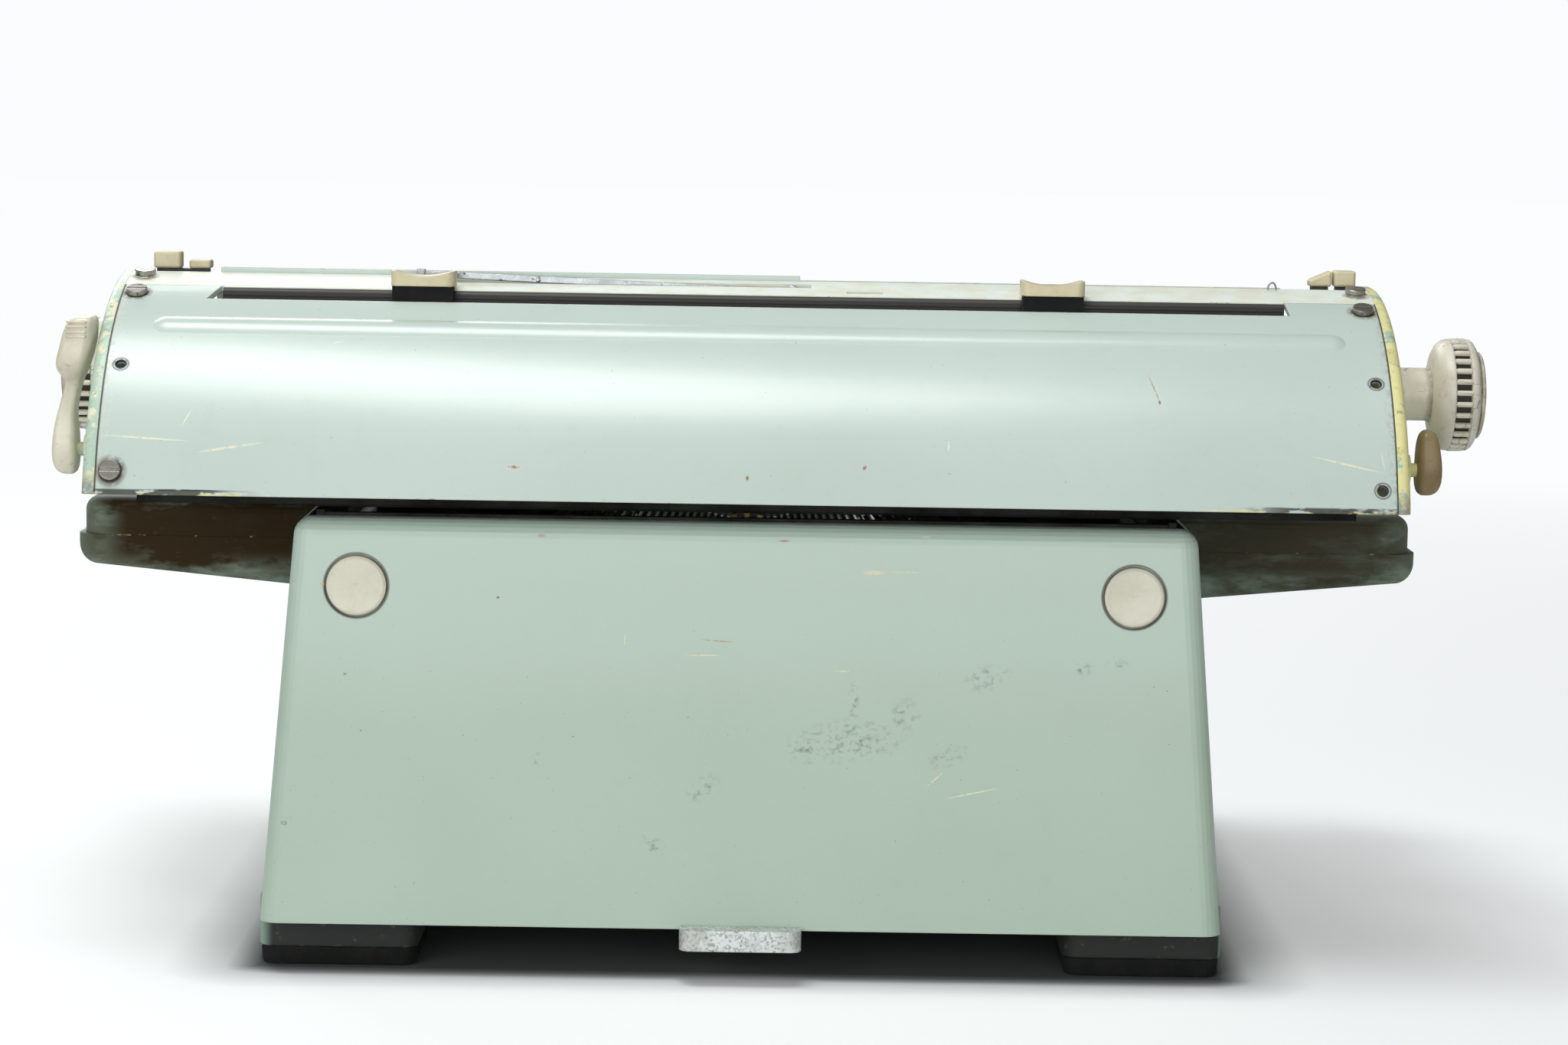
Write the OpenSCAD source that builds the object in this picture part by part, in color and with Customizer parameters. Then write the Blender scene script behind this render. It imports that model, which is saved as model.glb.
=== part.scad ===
// Office manual typewriter with a wide carriage, a curved rear cover and a segment shift.
// Frame: +X is the typist's right, -Y points to the keyboard, +Z is up. The origin lies on the table
// under the middle of the whole machine. All sizes are in millimetres.

/* [Body] */
// Width of the housing at its lower edge
body_base_w = 341; // [320:1:360]
// Width of the housing at its top edge
body_top_w = 319; // [310:1:340]
// Height of the housing's lower edge above the table
body_base_z = 19; // [18:0.5:24]
// Height of the housing's top edge above the table
body_top_z = 162; // [160:0.5:164]
// Distance from the middle to the front edge
body_front = 190; // [186:1:196]
// Distance from the middle to the rear panel's lower edge
body_rear_base = 182; // [178:1:186]
// Distance from the middle to the rear panel's top edge
body_rear_top = 172; // [170:1:178]
// Radius of the housing's upright edges
body_edge_r = 7; // [4:0.5:10]
// Thickness of the sheet steel
sheet_t = 2; // [1.2:0.1:2.4]
// Diameter of the two round plugs in the rear panel
plug_d = 21; // [14:0.5:26]
// Distance of each plug from the middle
plug_x = 137; // [120:1:142]
// Height of the plugs above the table
plug_z = 138.5; // [90:0.5:142]

/* [Deck] */
// Width of the lower deck shell across both wings
deck_lower_w = 509; // [480:1:514]
// Width of the upper deck shell
deck_upper_w = 504; // [470:1:508]
// Distance from the middle to the deck's rear edge
deck_rear = 70; // [66:1:74]
// Distance from the middle to the deck's front edge
deck_front = 88; // [86:1:92]
// Height of the seam between the two deck shells
deck_seam_z = 143; // [141:0.5:145]
// Height of the deck's top
deck_top_z = 157; // [155:0.5:158]
// Height of the wings' underside next to the body
wing_inner_z = 125; // [120:0.5:128]
// Height of the wings' underside at their outer ends
wing_outer_z = 132; // [129:0.5:136]
// Radius of the deck's front corners
deck_corner_r = 34; // [20:1:45]
// Highest point of the ribbon cover
lid_top_z = 180; // [176:0.5:181]

/* [Carriage] */
// Width of the curved rear cover between its end caps
cover_w = 453; // [445:1:460]
// Radius of the cover's arc
cover_r = 102; // [101:0.5:103]
// Distance from the middle to the centre line of the cover's arc
cover_axis_y = 91; // [90:0.5:92]
// Height of the centre line of the cover's arc
cover_axis_z = 143.5; // [143:0.5:145]
// Height of the cover's lower edge
cover_bottom_z = 171; // [169:0.5:173]
// Thickness of each end cap
cap_t = 4.6; // [4:0.2:6]
// Length of the slot in the cover's top
slot_w = 389; // [370:1:400]
// Front edge of the slot, from the middle
slot_front = 125.6; // [125:0.2:127]
// Rear edge of the slot, from the middle
slot_rear = 133; // [132:0.5:136]
// Travel of the carriage to each side
carriage_travel = 160; // [120:5:165]

/* [Platen] */
// Diameter of the platen's rubber
platen_d = 40; // [36:0.5:40]
// Length of the platen's rubber
platen_len = 408; // [390:1:410]
// Distance from the middle to the platen's axis
platen_y = 80; // [80:0.5:81]
// Height of the platen's axis
platen_z = 205; // [204:0.5:206]
// Diameter of the platen's shaft
platen_shaft_d = 8; // [6:0.5:10]
// Diameter of the ribbed knobs
knob_d = 43; // [38:0.5:46]
// Number of ribs round each knob
knob_ribs = 30; // [20:1:36]
// Distance of the left knob's face from the middle
knob_left_x = 275.5; // [268:0.5:280]
// Distance of the right knob's face from the middle
knob_right_x = 257; // [256:0.5:262]

/* [Keyboard] */
// Spacing of the keys in a row
key_pitch = 19; // [18.6:0.1:19.4]
// Width and depth of a key's cap
cap_w = 15; // [13:0.5:16]
// Height of a key's cap
cap_h = 7; // [5:0.5:8]
// Step from one row of keys to the next
row_step = 19; // [18.6:0.1:19.4]
// Rise from one row of keys to the next
row_rise = 13; // [12:0.5:14]
// Height of the cap tops in the row nearest the typist
row_first_z = 62; // [60:0.5:64]
// Thickness of the key levers
lever_t = 2; // [1.5:0.1:2.2]
// Height of the key levers
lever_h = 8; // [6:0.5:9]
// Diameter of the rod on which all key levers turn
fulcrum_d = 6; // [4:0.5:7]
// Distance from the middle to that rod
fulcrum_y = 120; // [110:1:124]
// Height of that rod
fulcrum_z = 45; // [44:0.5:47]

/* [Type basket] */
// Number of typebars
typebar_count = 43; // [37:2:43]
// Length of a typebar from its pivot to its type
typebar_len = 75; // [73:0.5:76]
// Thickness of a typebar
typebar_t = 1; // [0.8:0.05:1.1]
// Half the angle of the fan of typebars
fan_half = 52; // [50:0.5:53]
// Angle by which a resting typebar rises from its pivot
typebar_rise = 10; // [8:0.5:12]

/* [Hidden] */
// Everything is drawn about the body's middle and moved once, so that the origin lies under the
// middle of the whole machine, whose left knob reaches further than its right one.
datum_x = (knob_left_x - knob_right_x) / 2;
fit = 0.06;            // radial clearance of a running fit
gap = 0.3;             // clearance between pieces that pass each other
// Rows run from the one nearest the typist, 0, to the number row, 3
row_keys = [10, 11, 12, 12];
row_shift = [5, 3, 2, 0];
lane_w = key_pitch / 4;
lane_0 = -5.5 * key_pitch;
row_first_y = -156;
body_side_taper = (body_base_w - body_top_w) / 2 / (body_top_z - body_base_z);
body_rear_taper = (body_rear_base - body_rear_top) / (body_top_z - body_base_z);
foot_top_z = 6.8;
foot_w = 57;
foot_d = 54;
foot_lip_t = 1.7;
foot_rear_inset = 17;
rubber_inset = 5;
pan_t = 1.5;
deck_roll_r = 5;
deck_rear_r = 10;
frame_t = 3;
frame_window_r = 3;
frame_x = body_top_w / 2 - 7;
seat = 0.05;           // gap between a cap and the lever that it sits on
deck_open_x = 150;
lid_open_x = 156;
lid_axis_y = -deck_front + 8.5;
lid_axis_z = deck_top_z - 2.5;
lid_barrel_d = 4.4;
lid_edge_r = 8;
lid_rear = 48;
lid_w = 2 * lid_open_x - 3;
window_w = 124;
window_front = -14;
segment_y = platen_y - platen_d / 2 - 5;
segment_t = 8;
segment_in = typebar_len - 7;
segment_out = typebar_len + 9;
wire_d = 2;
slug_w = 2.1;
slug_h = 4.4;
spool_x = 118;
spool_y = -14;
spool_d = 54;
cup_t = 2;
spool_h = 16;
spool_z = deck_seam_z + cup_t + gap;
rail_w = 48;
rail_y = 128;
rail_z = body_top_z + 2;
rail_t = 6;
rail_half = frame_x + frame_t / 2;
plate_x = cover_w / 2 - 8;
// The rail's outer rollers stay clear of the carriage's end plates at the end of its travel
rail_roller_x = plate_x - frame_t / 2 - carriage_travel - 6;
carriage_floor_z = rail_z + rail_t + 2;
top_z = cover_axis_z + cover_r;
strip_front = cover_axis_y + 13;
seam_y = slot_front - 3;
slot_slant = 4.5;
cover_hole_x = cover_w / 2 - 5.4;
cover_hole_z = [179, 214.6, 238];
strip_hole_z = 243.7;
bead_r = 9;
bead_rise = 1.3;
bead_half = cover_w / 2 - 14.5;
bead_angle = 55.8;
edge_roll_r = 2.5;
flange_t = 1.5;
flange_z = 229.5;
web_y = slot_front - 7.6;
roller_d = 10;
roller_gap = 0.3;
roller_angle = 53;
bail_pivot = [56, 172];
bail_rod_d = 4;
bail_roller_d = 12;
release_pivot = [150, 183];
back_plate_y = 159;
drum_x = -96;
drum_y = 128;
drum_z = 122;
drum_d = 58;
wheel_y = rail_y + rail_w / 2 + 1;
wheel_z = 146;
bell_x = 112;
top_pivot = [95, 212];
return_pivot = [-222, 46];
return_z = 202;
// Pin of the folding paper support: place and diameter, and the groove round it
support_x = -15;
support_y = strip_front + 8;
support_z = 241;
support_pin_d = 2;
support_len = 137;
support_rise = 2;
groove_half = 2.4;
stop_left_x = -109;
stop_right_x = 118;
stop_cap_z = 242;
stop_w = 23;

module place() translate([datum_x, 0, 0]) children();

// Extrudes a profile drawn in (Y, Z) along X, centred on x
module along_x(x, t) translate([x - t / 2, 0, 0]) rotate([90, 0, 90]) linear_extrude(t) children();

// Extrudes a profile drawn in (X, Z) along Y, from y0 to y1
module along_y(y0, y1) translate([0, y1, 0]) rotate([90, 0, 0]) linear_extrude(y1 - y0) children();

// Round rod along X
module rod_x(x0, x1, y, z, d, $fn = 48) translate([x0, y, z]) rotate([0, 90, 0]) cylinder(h = x1 - x0, d = d);

// Round rod along Y
module rod_y(y0, y1, x, z, d, $fn = 48) translate([x, y0, z]) rotate([-90, 0, 0]) cylinder(h = y1 - y0, d = d);

// Box given by its lowest and highest corners
module box(a, b) translate(a) cube(b - a);

module both_sides() for (s = [-1, 1]) scale([1, 1, 1]) mirror([s < 0 ? 1 : 0, 0, 0]) children();

// Rectangle with round corners, centred
module round_rect(w, d, r) {
    square([w - 2 * r, d], center = true);
    square([w, d - 2 * r], center = true);
    for (x = [-1, 1], y = [-1, 1]) translate([x * (w / 2 - r), y * (d / 2 - r)]) circle(r = r, $fn = 32);
}

// Half width of the housing and its rear face at height z
function housing_half(z) = body_base_w / 2 - body_side_taper * (z - body_base_z);
function housing_rear(z) = body_rear_base - body_rear_taper * (z - body_base_z);

// Points of a round corner about c, over a quarter turn from angle a0
function corner(c, r, a0, z, steps) = [for (k = [0:steps])
    [c[0] + r * cos(a0 + 90 * k / steps), c[1] + r * sin(a0 + 90 * k / steps), z]];

// Level outline with round corners: half width, front and rear edge, radius of the front and rear corners
function level(half, front, rear, rf, rr, z, steps) = concat(
    corner([half - rr, rear - rr], rr, 0, z, steps), corner([-half + rr, rear - rr], rr, 90, z, steps),
    corner([-half + rf, front + rf], rf, 180, z, steps), corner([half - rf, front + rf], rf, 270, z, steps));

// Closed block through level outlines that all have the same number of points
module stack(levels) {
    n = len(levels[0]);
    top = len(levels) - 1;
    polyhedron(points = [for (l = levels, p = l) p], faces = concat([[for (i = [0:n - 1]) i]],
        [for (k = [0:top - 1], i = [0:n - 1])
            [k * n + i, (k + 1) * n + i, (k + 1) * n + (i + 1) % n, k * n + (i + 1) % n]],
        [[for (i = [n - 1:-1:0]) top * n + i]]));
}

// One level of the housing's tapered block, drawn in by inset
function housing_level(z, inset) = level(housing_half(z) - inset, -body_front + inset, housing_rear(z) - inset,
    body_edge_r - inset, body_edge_r - inset, z, 6);

// The housing's block with its rolled top edge, drawn in by inset on every side
module housing_block(inset) {
    roll = body_edge_r - 1 - inset;
    stack(concat([housing_level(body_base_z - (inset > 0 ? 1 : 0), inset)],
        [for (a = [0:18:90]) housing_level(body_top_z - inset - roll * (1 - sin(a)), inset + roll * (1 - cos(a)))]));
}

// Side view of what stays of the block: low at the keyboard, cut out under the deck, high behind
module housing_side() polygon([[-body_front - 1, 0], [-body_front - 1, row_first_z - 14],
    [-body_front + 14, row_first_z - 14], [-deck_front - 6, 106], [-deck_front, wing_inner_z - gap],
    [deck_rear + gap, wing_inner_z - gap], [deck_rear + gap, body_top_z + 1],
    [body_rear_base + 1, body_top_z + 1], [body_rear_base + 1, 0]]);

module main_housing() place() color("#b3c8bb") difference() {
    intersection() {
        difference() {
            housing_block(0);
            housing_block(sheet_t);
        }
        along_x(0, body_base_w + 2) housing_side();
    }
    box([-frame_x - 3, deck_rear - 1, body_top_z - 10],
        [frame_x + 3, back_plate_y + frame_t + gap, body_top_z + 5]);
    for (s = [-1, 1]) rod_y(body_rear_top - 14, body_rear_base + 5, s * plug_x, plug_z, plug_d + 1.6);
    for (s = [-1, 1])
        box([s * 60 - 9, -body_front - 1, body_base_z - 2], [s * 60 + 9, -body_front + 6, body_base_z + 6]);
}

module housing_plugs() place() color("#e9e4d0") for (s = [-1, 1]) {
    face = housing_rear(plug_z);
    translate([s * plug_x, face - 6, plug_z]) rotate([-90, 0, 0]) rotate_extrude($fn = 96) polygon([
        [0, 0], [plug_d / 2 + 2.6, 0], [plug_d / 2 + 2.6, 2.6], [plug_d / 2, 2.6],
        [plug_d / 2, 6.2], [plug_d / 2 - 1, 6.8], [plug_d / 2 - 2, 6.6], [0, 5.8]]);
}

module bottom_pan() place() color("#1d1e1d") difference() {
    union() {
        translate([0, -4, body_base_z]) linear_extrude(pan_t) round_rect(body_base_w - 12, 2 * body_front - 22, 8);
        for (x = [-96, -48, 0, 48, 96]) hull() for (y = [-110, 110])
            translate([x, y, body_base_z - 1.2]) cylinder(h = 1.3, d1 = 9, d2 = 12, $fn = 24);
    }
    for (x = [-150, 150], y = [-120, 116])
        translate([x, y, body_base_z - 1]) cylinder(h = pan_t + 2, d = 4.2, $fn = 32);
}

module frame_side() difference() {
    polygon([[-150, body_base_z + pan_t], [-150, 46], [-104, 60], [-80, 104], [-80, wing_inner_z - 8],
        [deck_rear + 2, wing_inner_z - 8], [deck_rear + 18, rail_z], [162, rail_z], [162, body_base_z + pan_t]]);
    translate([fulcrum_y, fulcrum_z]) circle(d = fulcrum_d, $fn = 48);
    translate([10, 76]) round_rect(96, 34, frame_window_r);
    translate([112, 108]) round_rect(44, 48, frame_window_r);
    translate([-104, 42]) round_rect(44, 20, frame_window_r);
}

module side_frames() place() color("#3a3d3b") both_sides() along_x(frame_x - frame_t / 2, frame_t) frame_side();

// Cross rods, bars and rear plate between the two side frames
module inner_frame() place() color("#3a3d3b") {
    inner_x = frame_x - frame_t;
    for (p = [[-140, 23.2, 5], [-70, 23.2, 5], [20, 23.2, 5], [110, 23.2, 5], [158, 60, 8]])
        rod_x(-inner_x, inner_x, p[0], p[1], p[2]);
    // Guides in which the segment rises and falls, on their cross bar
    guide_y = segment_y + segment_t / 2 + gap;
    both_sides() box([64, guide_y, 90], [74, guide_y + 4, 150]);
    box([-inner_x, guide_y, 84], [inner_x, guide_y + 4, 94]);
    // Rear cross plate with the stub shafts of the mainspring drum and the escapement wheel
    box([-inner_x, back_plate_y, 112], [inner_x, back_plate_y + frame_t, rail_z - 0.8]);
    rod_y(drum_y - 1, back_plate_y + 1, drum_x, drum_z, 8);
    rod_y(wheel_y - 1, back_plate_y + 1, 0, wheel_z, 5);
}

// Bracket under a corner of the housing, with a lip that rises beside the housing's wall
module foot_bracket() difference() {
    union() {
        translate([0, 0, foot_top_z]) linear_extrude(body_base_z - foot_top_z) round_rect(foot_w, foot_d, 6);
        box([foot_w / 2 - foot_lip_t, -foot_d / 2 + 6, body_base_z - 1],
            [foot_w / 2, foot_d / 2 - 6, body_base_z + 6]);
    }
    translate([0, 0, foot_top_z - 1]) cylinder(h = 3, d = 30, $fn = 48);
}

module foot_places() both_sides()
    for (y = [-body_front + foot_d / 2 + 2, body_rear_base - foot_d / 2 - foot_rear_inset])
        translate([body_base_w / 2 + 2 - foot_w / 2, y, 0]) children();

module foot_brackets() place() color("#9db3a4") foot_places() foot_bracket();

module rubber_foot() {
    linear_extrude(foot_top_z) round_rect(foot_w - 2 * rubber_inset, foot_d - 2 * rubber_inset, 6);
    translate([0, 0, foot_top_z - 0.5]) cylinder(h = 2, d = 29, $fn = 48);
}

module rubber_feet() place() color("#151515") foot_places() rubber_foot();

module rear_lip() place() color("#b9bdbc") difference() {
    translate([0, body_rear_base - 5, 13]) linear_extrude(7.4) round_rect(43, 28, 4);
    translate([0, body_rear_base - 12, 12]) linear_extrude(4) round_rect(36, 20, 3);
    box([-30, body_rear_base - 30, body_base_z - 0.2], [30, body_rear_base + 0.6, body_base_z + 5]);
}

// Plan of the deck: round front corners, small rear corners
module deck_plan(w, inset) difference() {
    union() {
        translate([0, (deck_rear - deck_front) / 2]) round_rect(w - 2 * inset, deck_rear + deck_front - 2 * inset,
            deck_corner_r - inset);
        translate([0, deck_rear / 2]) round_rect(w - 2 * inset, deck_rear - 2 * inset, deck_rear_r);
    }
}

// Front view of the lower deck's underside with its round outer corners
module deck_lower_front(inset) {
    half = deck_lower_w / 2 - inset;
    r = 9;
    union() {
        polygon([[-half, deck_seam_z + 1], [-half, wing_outer_z + r], [-half + r, wing_outer_z + inset],
            [-body_top_w / 2 - 10, wing_inner_z + inset], [body_top_w / 2 + 10, wing_inner_z + inset],
            [half - r, wing_outer_z + inset], [half, wing_outer_z + r], [half, deck_seam_z + 1]]);
        for (s = [-1, 1]) translate([s * (half - r), wing_outer_z + r + inset]) circle(r = r, $fn = 48);
    }
}

module deck_lower() place() color("#a5bbad") difference() {
    intersection() {
        translate([0, 0, wing_inner_z - 1]) linear_extrude(deck_seam_z - wing_inner_z + 1) deck_plan(deck_lower_w, 0);
        along_y(-deck_front - 1, deck_rear + 1) deck_lower_front(0);
    }
    intersection() {
        translate([0, 0, wing_inner_z]) linear_extrude(deck_seam_z) deck_plan(deck_lower_w, sheet_t);
        along_y(-deck_front, deck_rear) deck_lower_front(sheet_t);
        both_sides() box([body_top_w / 2 + 12, -deck_front - 1, wing_inner_z - 1],
            [deck_lower_w, deck_rear + 1, deck_seam_z + 1]);
    }
    box([-deck_open_x, -deck_front + 6, wing_inner_z - 2], [deck_open_x, deck_rear + 1, deck_seam_z + 1]);
}

// The upper deck's block with its rolled top edge, drawn in by inset on every side
module deck_block(inset) {
    roll = deck_roll_r - inset;
    stack(concat([deck_level(deck_seam_z - (inset > 0 ? 1 : 0), inset)],
        [for (a = [0:18:90]) deck_level(deck_top_z - inset - roll * (1 - sin(a)), inset + roll * (1 - cos(a)))]));
}

function deck_level(z, inset) = level(deck_upper_w / 2 - inset, -deck_front + inset, deck_rear - inset,
    deck_corner_r - inset, deck_rear_r - inset, z, 8);

module deck_upper() place() color("#a5bbad") difference() {
    deck_block(0);
    intersection() {
        deck_block(sheet_t);
        both_sides() box([lid_open_x + 3, -deck_front - 1, deck_seam_z - 2], [deck_upper_w, deck_rear + 1, deck_top_z]);
    }
    box([-lid_open_x, lid_axis_y - 3.2, deck_seam_z - 1], [lid_open_x, deck_rear + 1, deck_top_z + 1]);
    rod_x(-lid_open_x - 2, lid_open_x + 2, lid_axis_y, lid_axis_z, 2.4 + 2 * fit);
}

// The keyboard's sloped rim between the side walls
module keyboard_surround() place() color("#a5bbad") {
    slope = [[-body_front + sheet_t + gap, 46], [-body_front + 13, 46], [-deck_front - 4, 104],
        [-deck_front + 3, wing_inner_z], [-deck_front + 5, wing_inner_z], [-deck_front - 2, 102.5],
        [-body_front + 13.7, 43.5], [-body_front + sheet_t + gap, 43.5]];
    difference() {
        intersection() {
            along_x(0, body_base_w) polygon(slope);
            housing_block(sheet_t + gap);
        }
        box([-150, -body_front + 5, 30], [158, -deck_front - 2.5, 103.5]);
    }
}

module lane_slot(x) box([x - lever_t / 2 - 0.4, -90, 25], [x + lever_t / 2 + 0.4, -70, 54]);

module key_comb() place() color("#6f736f") difference() {
    union() {
        box([-frame_x + frame_t, -80, body_base_z + pan_t], [frame_x - frame_t, -78, 58]);
        box([-frame_x + frame_t, -88, body_base_z + pan_t], [frame_x - frame_t, -78, body_base_z + pan_t + 2]);
    }
    for (n = [-7:1:52]) lane_slot(lane_0 + n * lane_w);
}

module fulcrum_rod() place() color("#9a9d9b") rod_x(-frame_x, frame_x, fulcrum_y, fulcrum_z, fulcrum_d);

module carriage_rail() place() color("#8b8f8c") {
    difference() {
        box([-rail_half, rail_y - rail_w / 2, rail_z], [rail_half, rail_y + rail_w / 2, rail_z + rail_t]);
        for (s = [-1, 1]) rod_x(-rail_half - 1, rail_half + 1, rail_y + s * rail_w / 2, rail_z + rail_t / 2, 4);
        box([-rail_half + 12, rail_y - rail_w / 2 + 10, rail_z - 1],
            [rail_half - 12, rail_y + rail_w / 2 - 10, rail_z + rail_t + 1]);
    }
    // Rollers on which the carriage's floor runs
    for (k = [-1, -1 / 3, 1 / 3, 1], s = [-1, 1])
        rod_y(rail_y + s * (rail_w / 2 - 5) - 4, rail_y + s * (rail_w / 2 - 5) + 4, k * rail_roller_x,
            carriage_floor_z - 1.3 * fit - 4, 8);
}

module spool_cups() place() color("#6f736f") both_sides() difference() {
    union() {
        box([86, spool_y - 31, deck_seam_z], [lid_open_x - 1, spool_y + 31, deck_seam_z + cup_t]);
        translate([spool_x, spool_y, deck_seam_z]) cylinder(h = 8, d = 62, $fn = 96);
    }
    translate([spool_x, spool_y, deck_seam_z + cup_t]) cylinder(h = 20, d = 59, $fn = 96);
    translate([spool_x, spool_y, deck_seam_z - 1]) cylinder(h = 6, d = 6 + 2 * fit, $fn = 48);
    // The wall is open where the ribbon leaves
    box([80, spool_y + 4, deck_seam_z + cup_t], [spool_x - 8, spool_y + 40, deck_seam_z + 9]);
}

module bell() place() color("#a99b6c") translate([bell_x, 140, 96]) {
    rotate_extrude($fn = 96) difference() {
        circle(r = 20, $fn = 96);
        circle(r = 18.6, $fn = 96);
        translate([-30, -30]) square([30, 60]);
        translate([0, -30]) square([30, 30]);
    }
    cylinder(h = 19.5, d = 5, $fn = 32);
    box([-4, -5, -2], [frame_x - frame_t - bell_x, 5, 0]);
}

// Outline of the ribbon cover in one direction: feet at -f0 and f1, sides sloped by a0 and a1, round top edges
module lid_outline(f0, a0, f1, a1, inset) {
    r = lid_edge_r - inset;
    cz = lid_top_z - lid_edge_r;
    c0 = -f0 + lid_edge_r * sin(a0) + (cz + lid_edge_r * cos(a0) - deck_top_z) / tan(a0);
    c1 = f1 - lid_edge_r * sin(a1) - (cz + lid_edge_r * cos(a1) - deck_top_z) / tan(a1);
    y0 = -f0 + inset / sin(a0);
    y1 = f1 - inset / sin(a1);
    low = deck_top_z - (inset > 0 ? 3 : 1.5);
    polygon([[y0, low], [y0, deck_top_z], [c0 - r * sin(a0), cz + r * cos(a0)], [c0, cz + r], [c1, cz + r],
        [c1 + r * sin(a1), cz + r * cos(a1)], [y1, deck_top_z], [y1, low]]);
    for (c = [c0, c1]) translate([c, cz]) circle(r = r, $fn = 64);
}

module lid_block(inset) intersection() {
    along_x(0, lid_w + 4) lid_outline(-lid_axis_y, 34, lid_rear, 89, inset);
    along_y(lid_axis_y - 4, lid_rear + 4) lid_outline(lid_w / 2, 70, lid_w / 2, 70, inset);
}

module ribbon_cover() place() color("#b3c8bb") difference() {
    union() {
        difference() {
            lid_block(0);
            lid_block(sheet_t);
        }
        rod_x(-lid_w / 2 + 8, lid_w / 2 - 8, lid_axis_y + 0.6, lid_axis_z + 0.4, lid_barrel_d);
        for (s = [-1, 1]) rod_x(s * (lid_w / 2 - 5.5) - 8.5, s * (lid_w / 2 - 5.5) + 8.5, lid_axis_y, lid_axis_z, 2.4);
    }
    translate([0, (window_front + lid_rear + 20) / 2, deck_top_z - 5]) linear_extrude(40)
        round_rect(window_w, lid_rear + 20 - window_front, 12);
}

// Cap of a key with a dished top, on top height z
module key_cap(x, y, z, w) translate([x, y, z - cap_h]) difference() {
    linear_extrude(cap_h) round_rect(w, cap_w, 3);
    translate([0, 0, cap_h + 26]) sphere(r = 27.2, $fn = 96);
}

// Steel lever of a key: bar from the common rod, stem up to the cap
module key_lever(x, y, z) along_x(x, lever_t) difference() {
    union() {
        translate([fulcrum_y, fulcrum_z]) circle(d = fulcrum_d + 6, $fn = 48);
        polygon([[fulcrum_y, fulcrum_z - lever_h / 2], [fulcrum_y, fulcrum_z + lever_h / 2],
            [y + 13, fulcrum_z + lever_h / 2], [y + 4, fulcrum_z + lever_h / 2 + 6], [y + 4, z - cap_h - seat],
            [y - 4, z - cap_h - seat], [y - 4, fulcrum_z - lever_h / 2]]);
    }
    translate([fulcrum_y, fulcrum_z]) circle(d = fulcrum_d + 2 * fit, $fn = 48);
}

function row_y(r) = row_first_y + r * row_step;
function row_z(r) = row_first_z + r * row_rise;
function key_x(r, i) = lane_0 + row_shift[r] * lane_w + i * key_pitch;

module letter_key(r, i) {
    color("#e9e4d0") key_cap(key_x(r, i), row_y(r), row_z(r), cap_w);
    color("#8b8f8c") key_lever(key_x(r, i), row_y(r), row_z(r));
}

middle = [1, 5];

module key_row(r) place() for (i = [0:row_keys[r] - 1])
    if (!(r == middle[0] && i == middle[1])) letter_key(r, i);

module key_row_1() key_row(0);
module key_row_2() key_row(1);
module key_row_3() key_row(2);
module key_row_4() key_row(3);
module middle_key() place() letter_key(middle[0], middle[1]);

// A wide key on its own lane: the cap spans x0 to x1 in row r
module wide_key(lane, r, x0, x1) {
    color("#8b8468") key_cap((x0 + x1) / 2, row_y(r), row_z(r), x1 - x0);
    color("#8b8f8c") key_lever(lane_0 + lane * lane_w, row_y(r), row_z(r));
}

module shift_key_left() place() wide_key(-3, 0, -139, -112);
module shift_key_right() place() wide_key(50, 0, 122, 148);
module shift_lock_key() place() wide_key(-5, 1, -141, -102);
module tabulator_key() place() wide_key(-7, 2, -148, -107);
module margin_release_key() place() wide_key(52, 2, 126, 155);
module backspace_key() place() wide_key(49, 3, 117, 140);

module space_arm(x) along_x(x, lever_t) difference() {
    union() {
        translate([fulcrum_y, fulcrum_z]) circle(d = fulcrum_d + 6, $fn = 48);
        polygon([[fulcrum_y, fulcrum_z - lever_h / 2], [fulcrum_y, fulcrum_z + lever_h / 2],
            [row_first_y - 15, fulcrum_z + lever_h / 2], [row_first_y - 15, fulcrum_z - lever_h / 2]]);
    }
    translate([fulcrum_y, fulcrum_z]) circle(d = fulcrum_d + 2 * fit, $fn = 48);
}

module space_bar() place() {
    bar_y = row_first_y - 22;
    left = lane_0 - lane_w;
    right = lane_0 + 47 * lane_w;
    color("#8b8f8c") {
        space_arm(left);
        space_arm(right);
        box([left - lever_t / 2, row_first_y - 17, fulcrum_z - lever_h / 2],
            [right + lever_t / 2, row_first_y - 15, fulcrum_z - lever_h / 2 + 7]);
    }
    color("#e9e4d0") difference() {
        translate([0, bar_y, fulcrum_z - lever_h / 2 + 7 + seat]) linear_extrude(7) round_rect(key_pitch * 7, 12, 4);
        rod_x(-80, 80, bar_y, fulcrum_z + lever_h / 2 + 32, 60);
    }
}

module ribbon_spool(x) translate([x, spool_y, spool_z]) {
    difference() {
        union() {
            cylinder(h = 1, d = spool_d, $fn = 96);
            translate([0, 0, spool_h - 1]) cylinder(h = 1, d = spool_d, $fn = 96);
            cylinder(h = spool_h, d = 44, $fn = 96);
        }
        for (a = [0:60:300]) rotate([0, 0, a]) translate([24.4, 0, -1]) cylinder(h = spool_h + 2, d = 3, $fn = 24);
    }
    translate([0, 0, -cup_t - gap]) cylinder(h = cup_t + gap + 0.01, d = 6, $fn = 48);
}

module ribbon_spool_left() place() color("#45484a") ribbon_spool(-spool_x);
module ribbon_spool_right() place() color("#45484a") ribbon_spool(spool_x);

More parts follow.
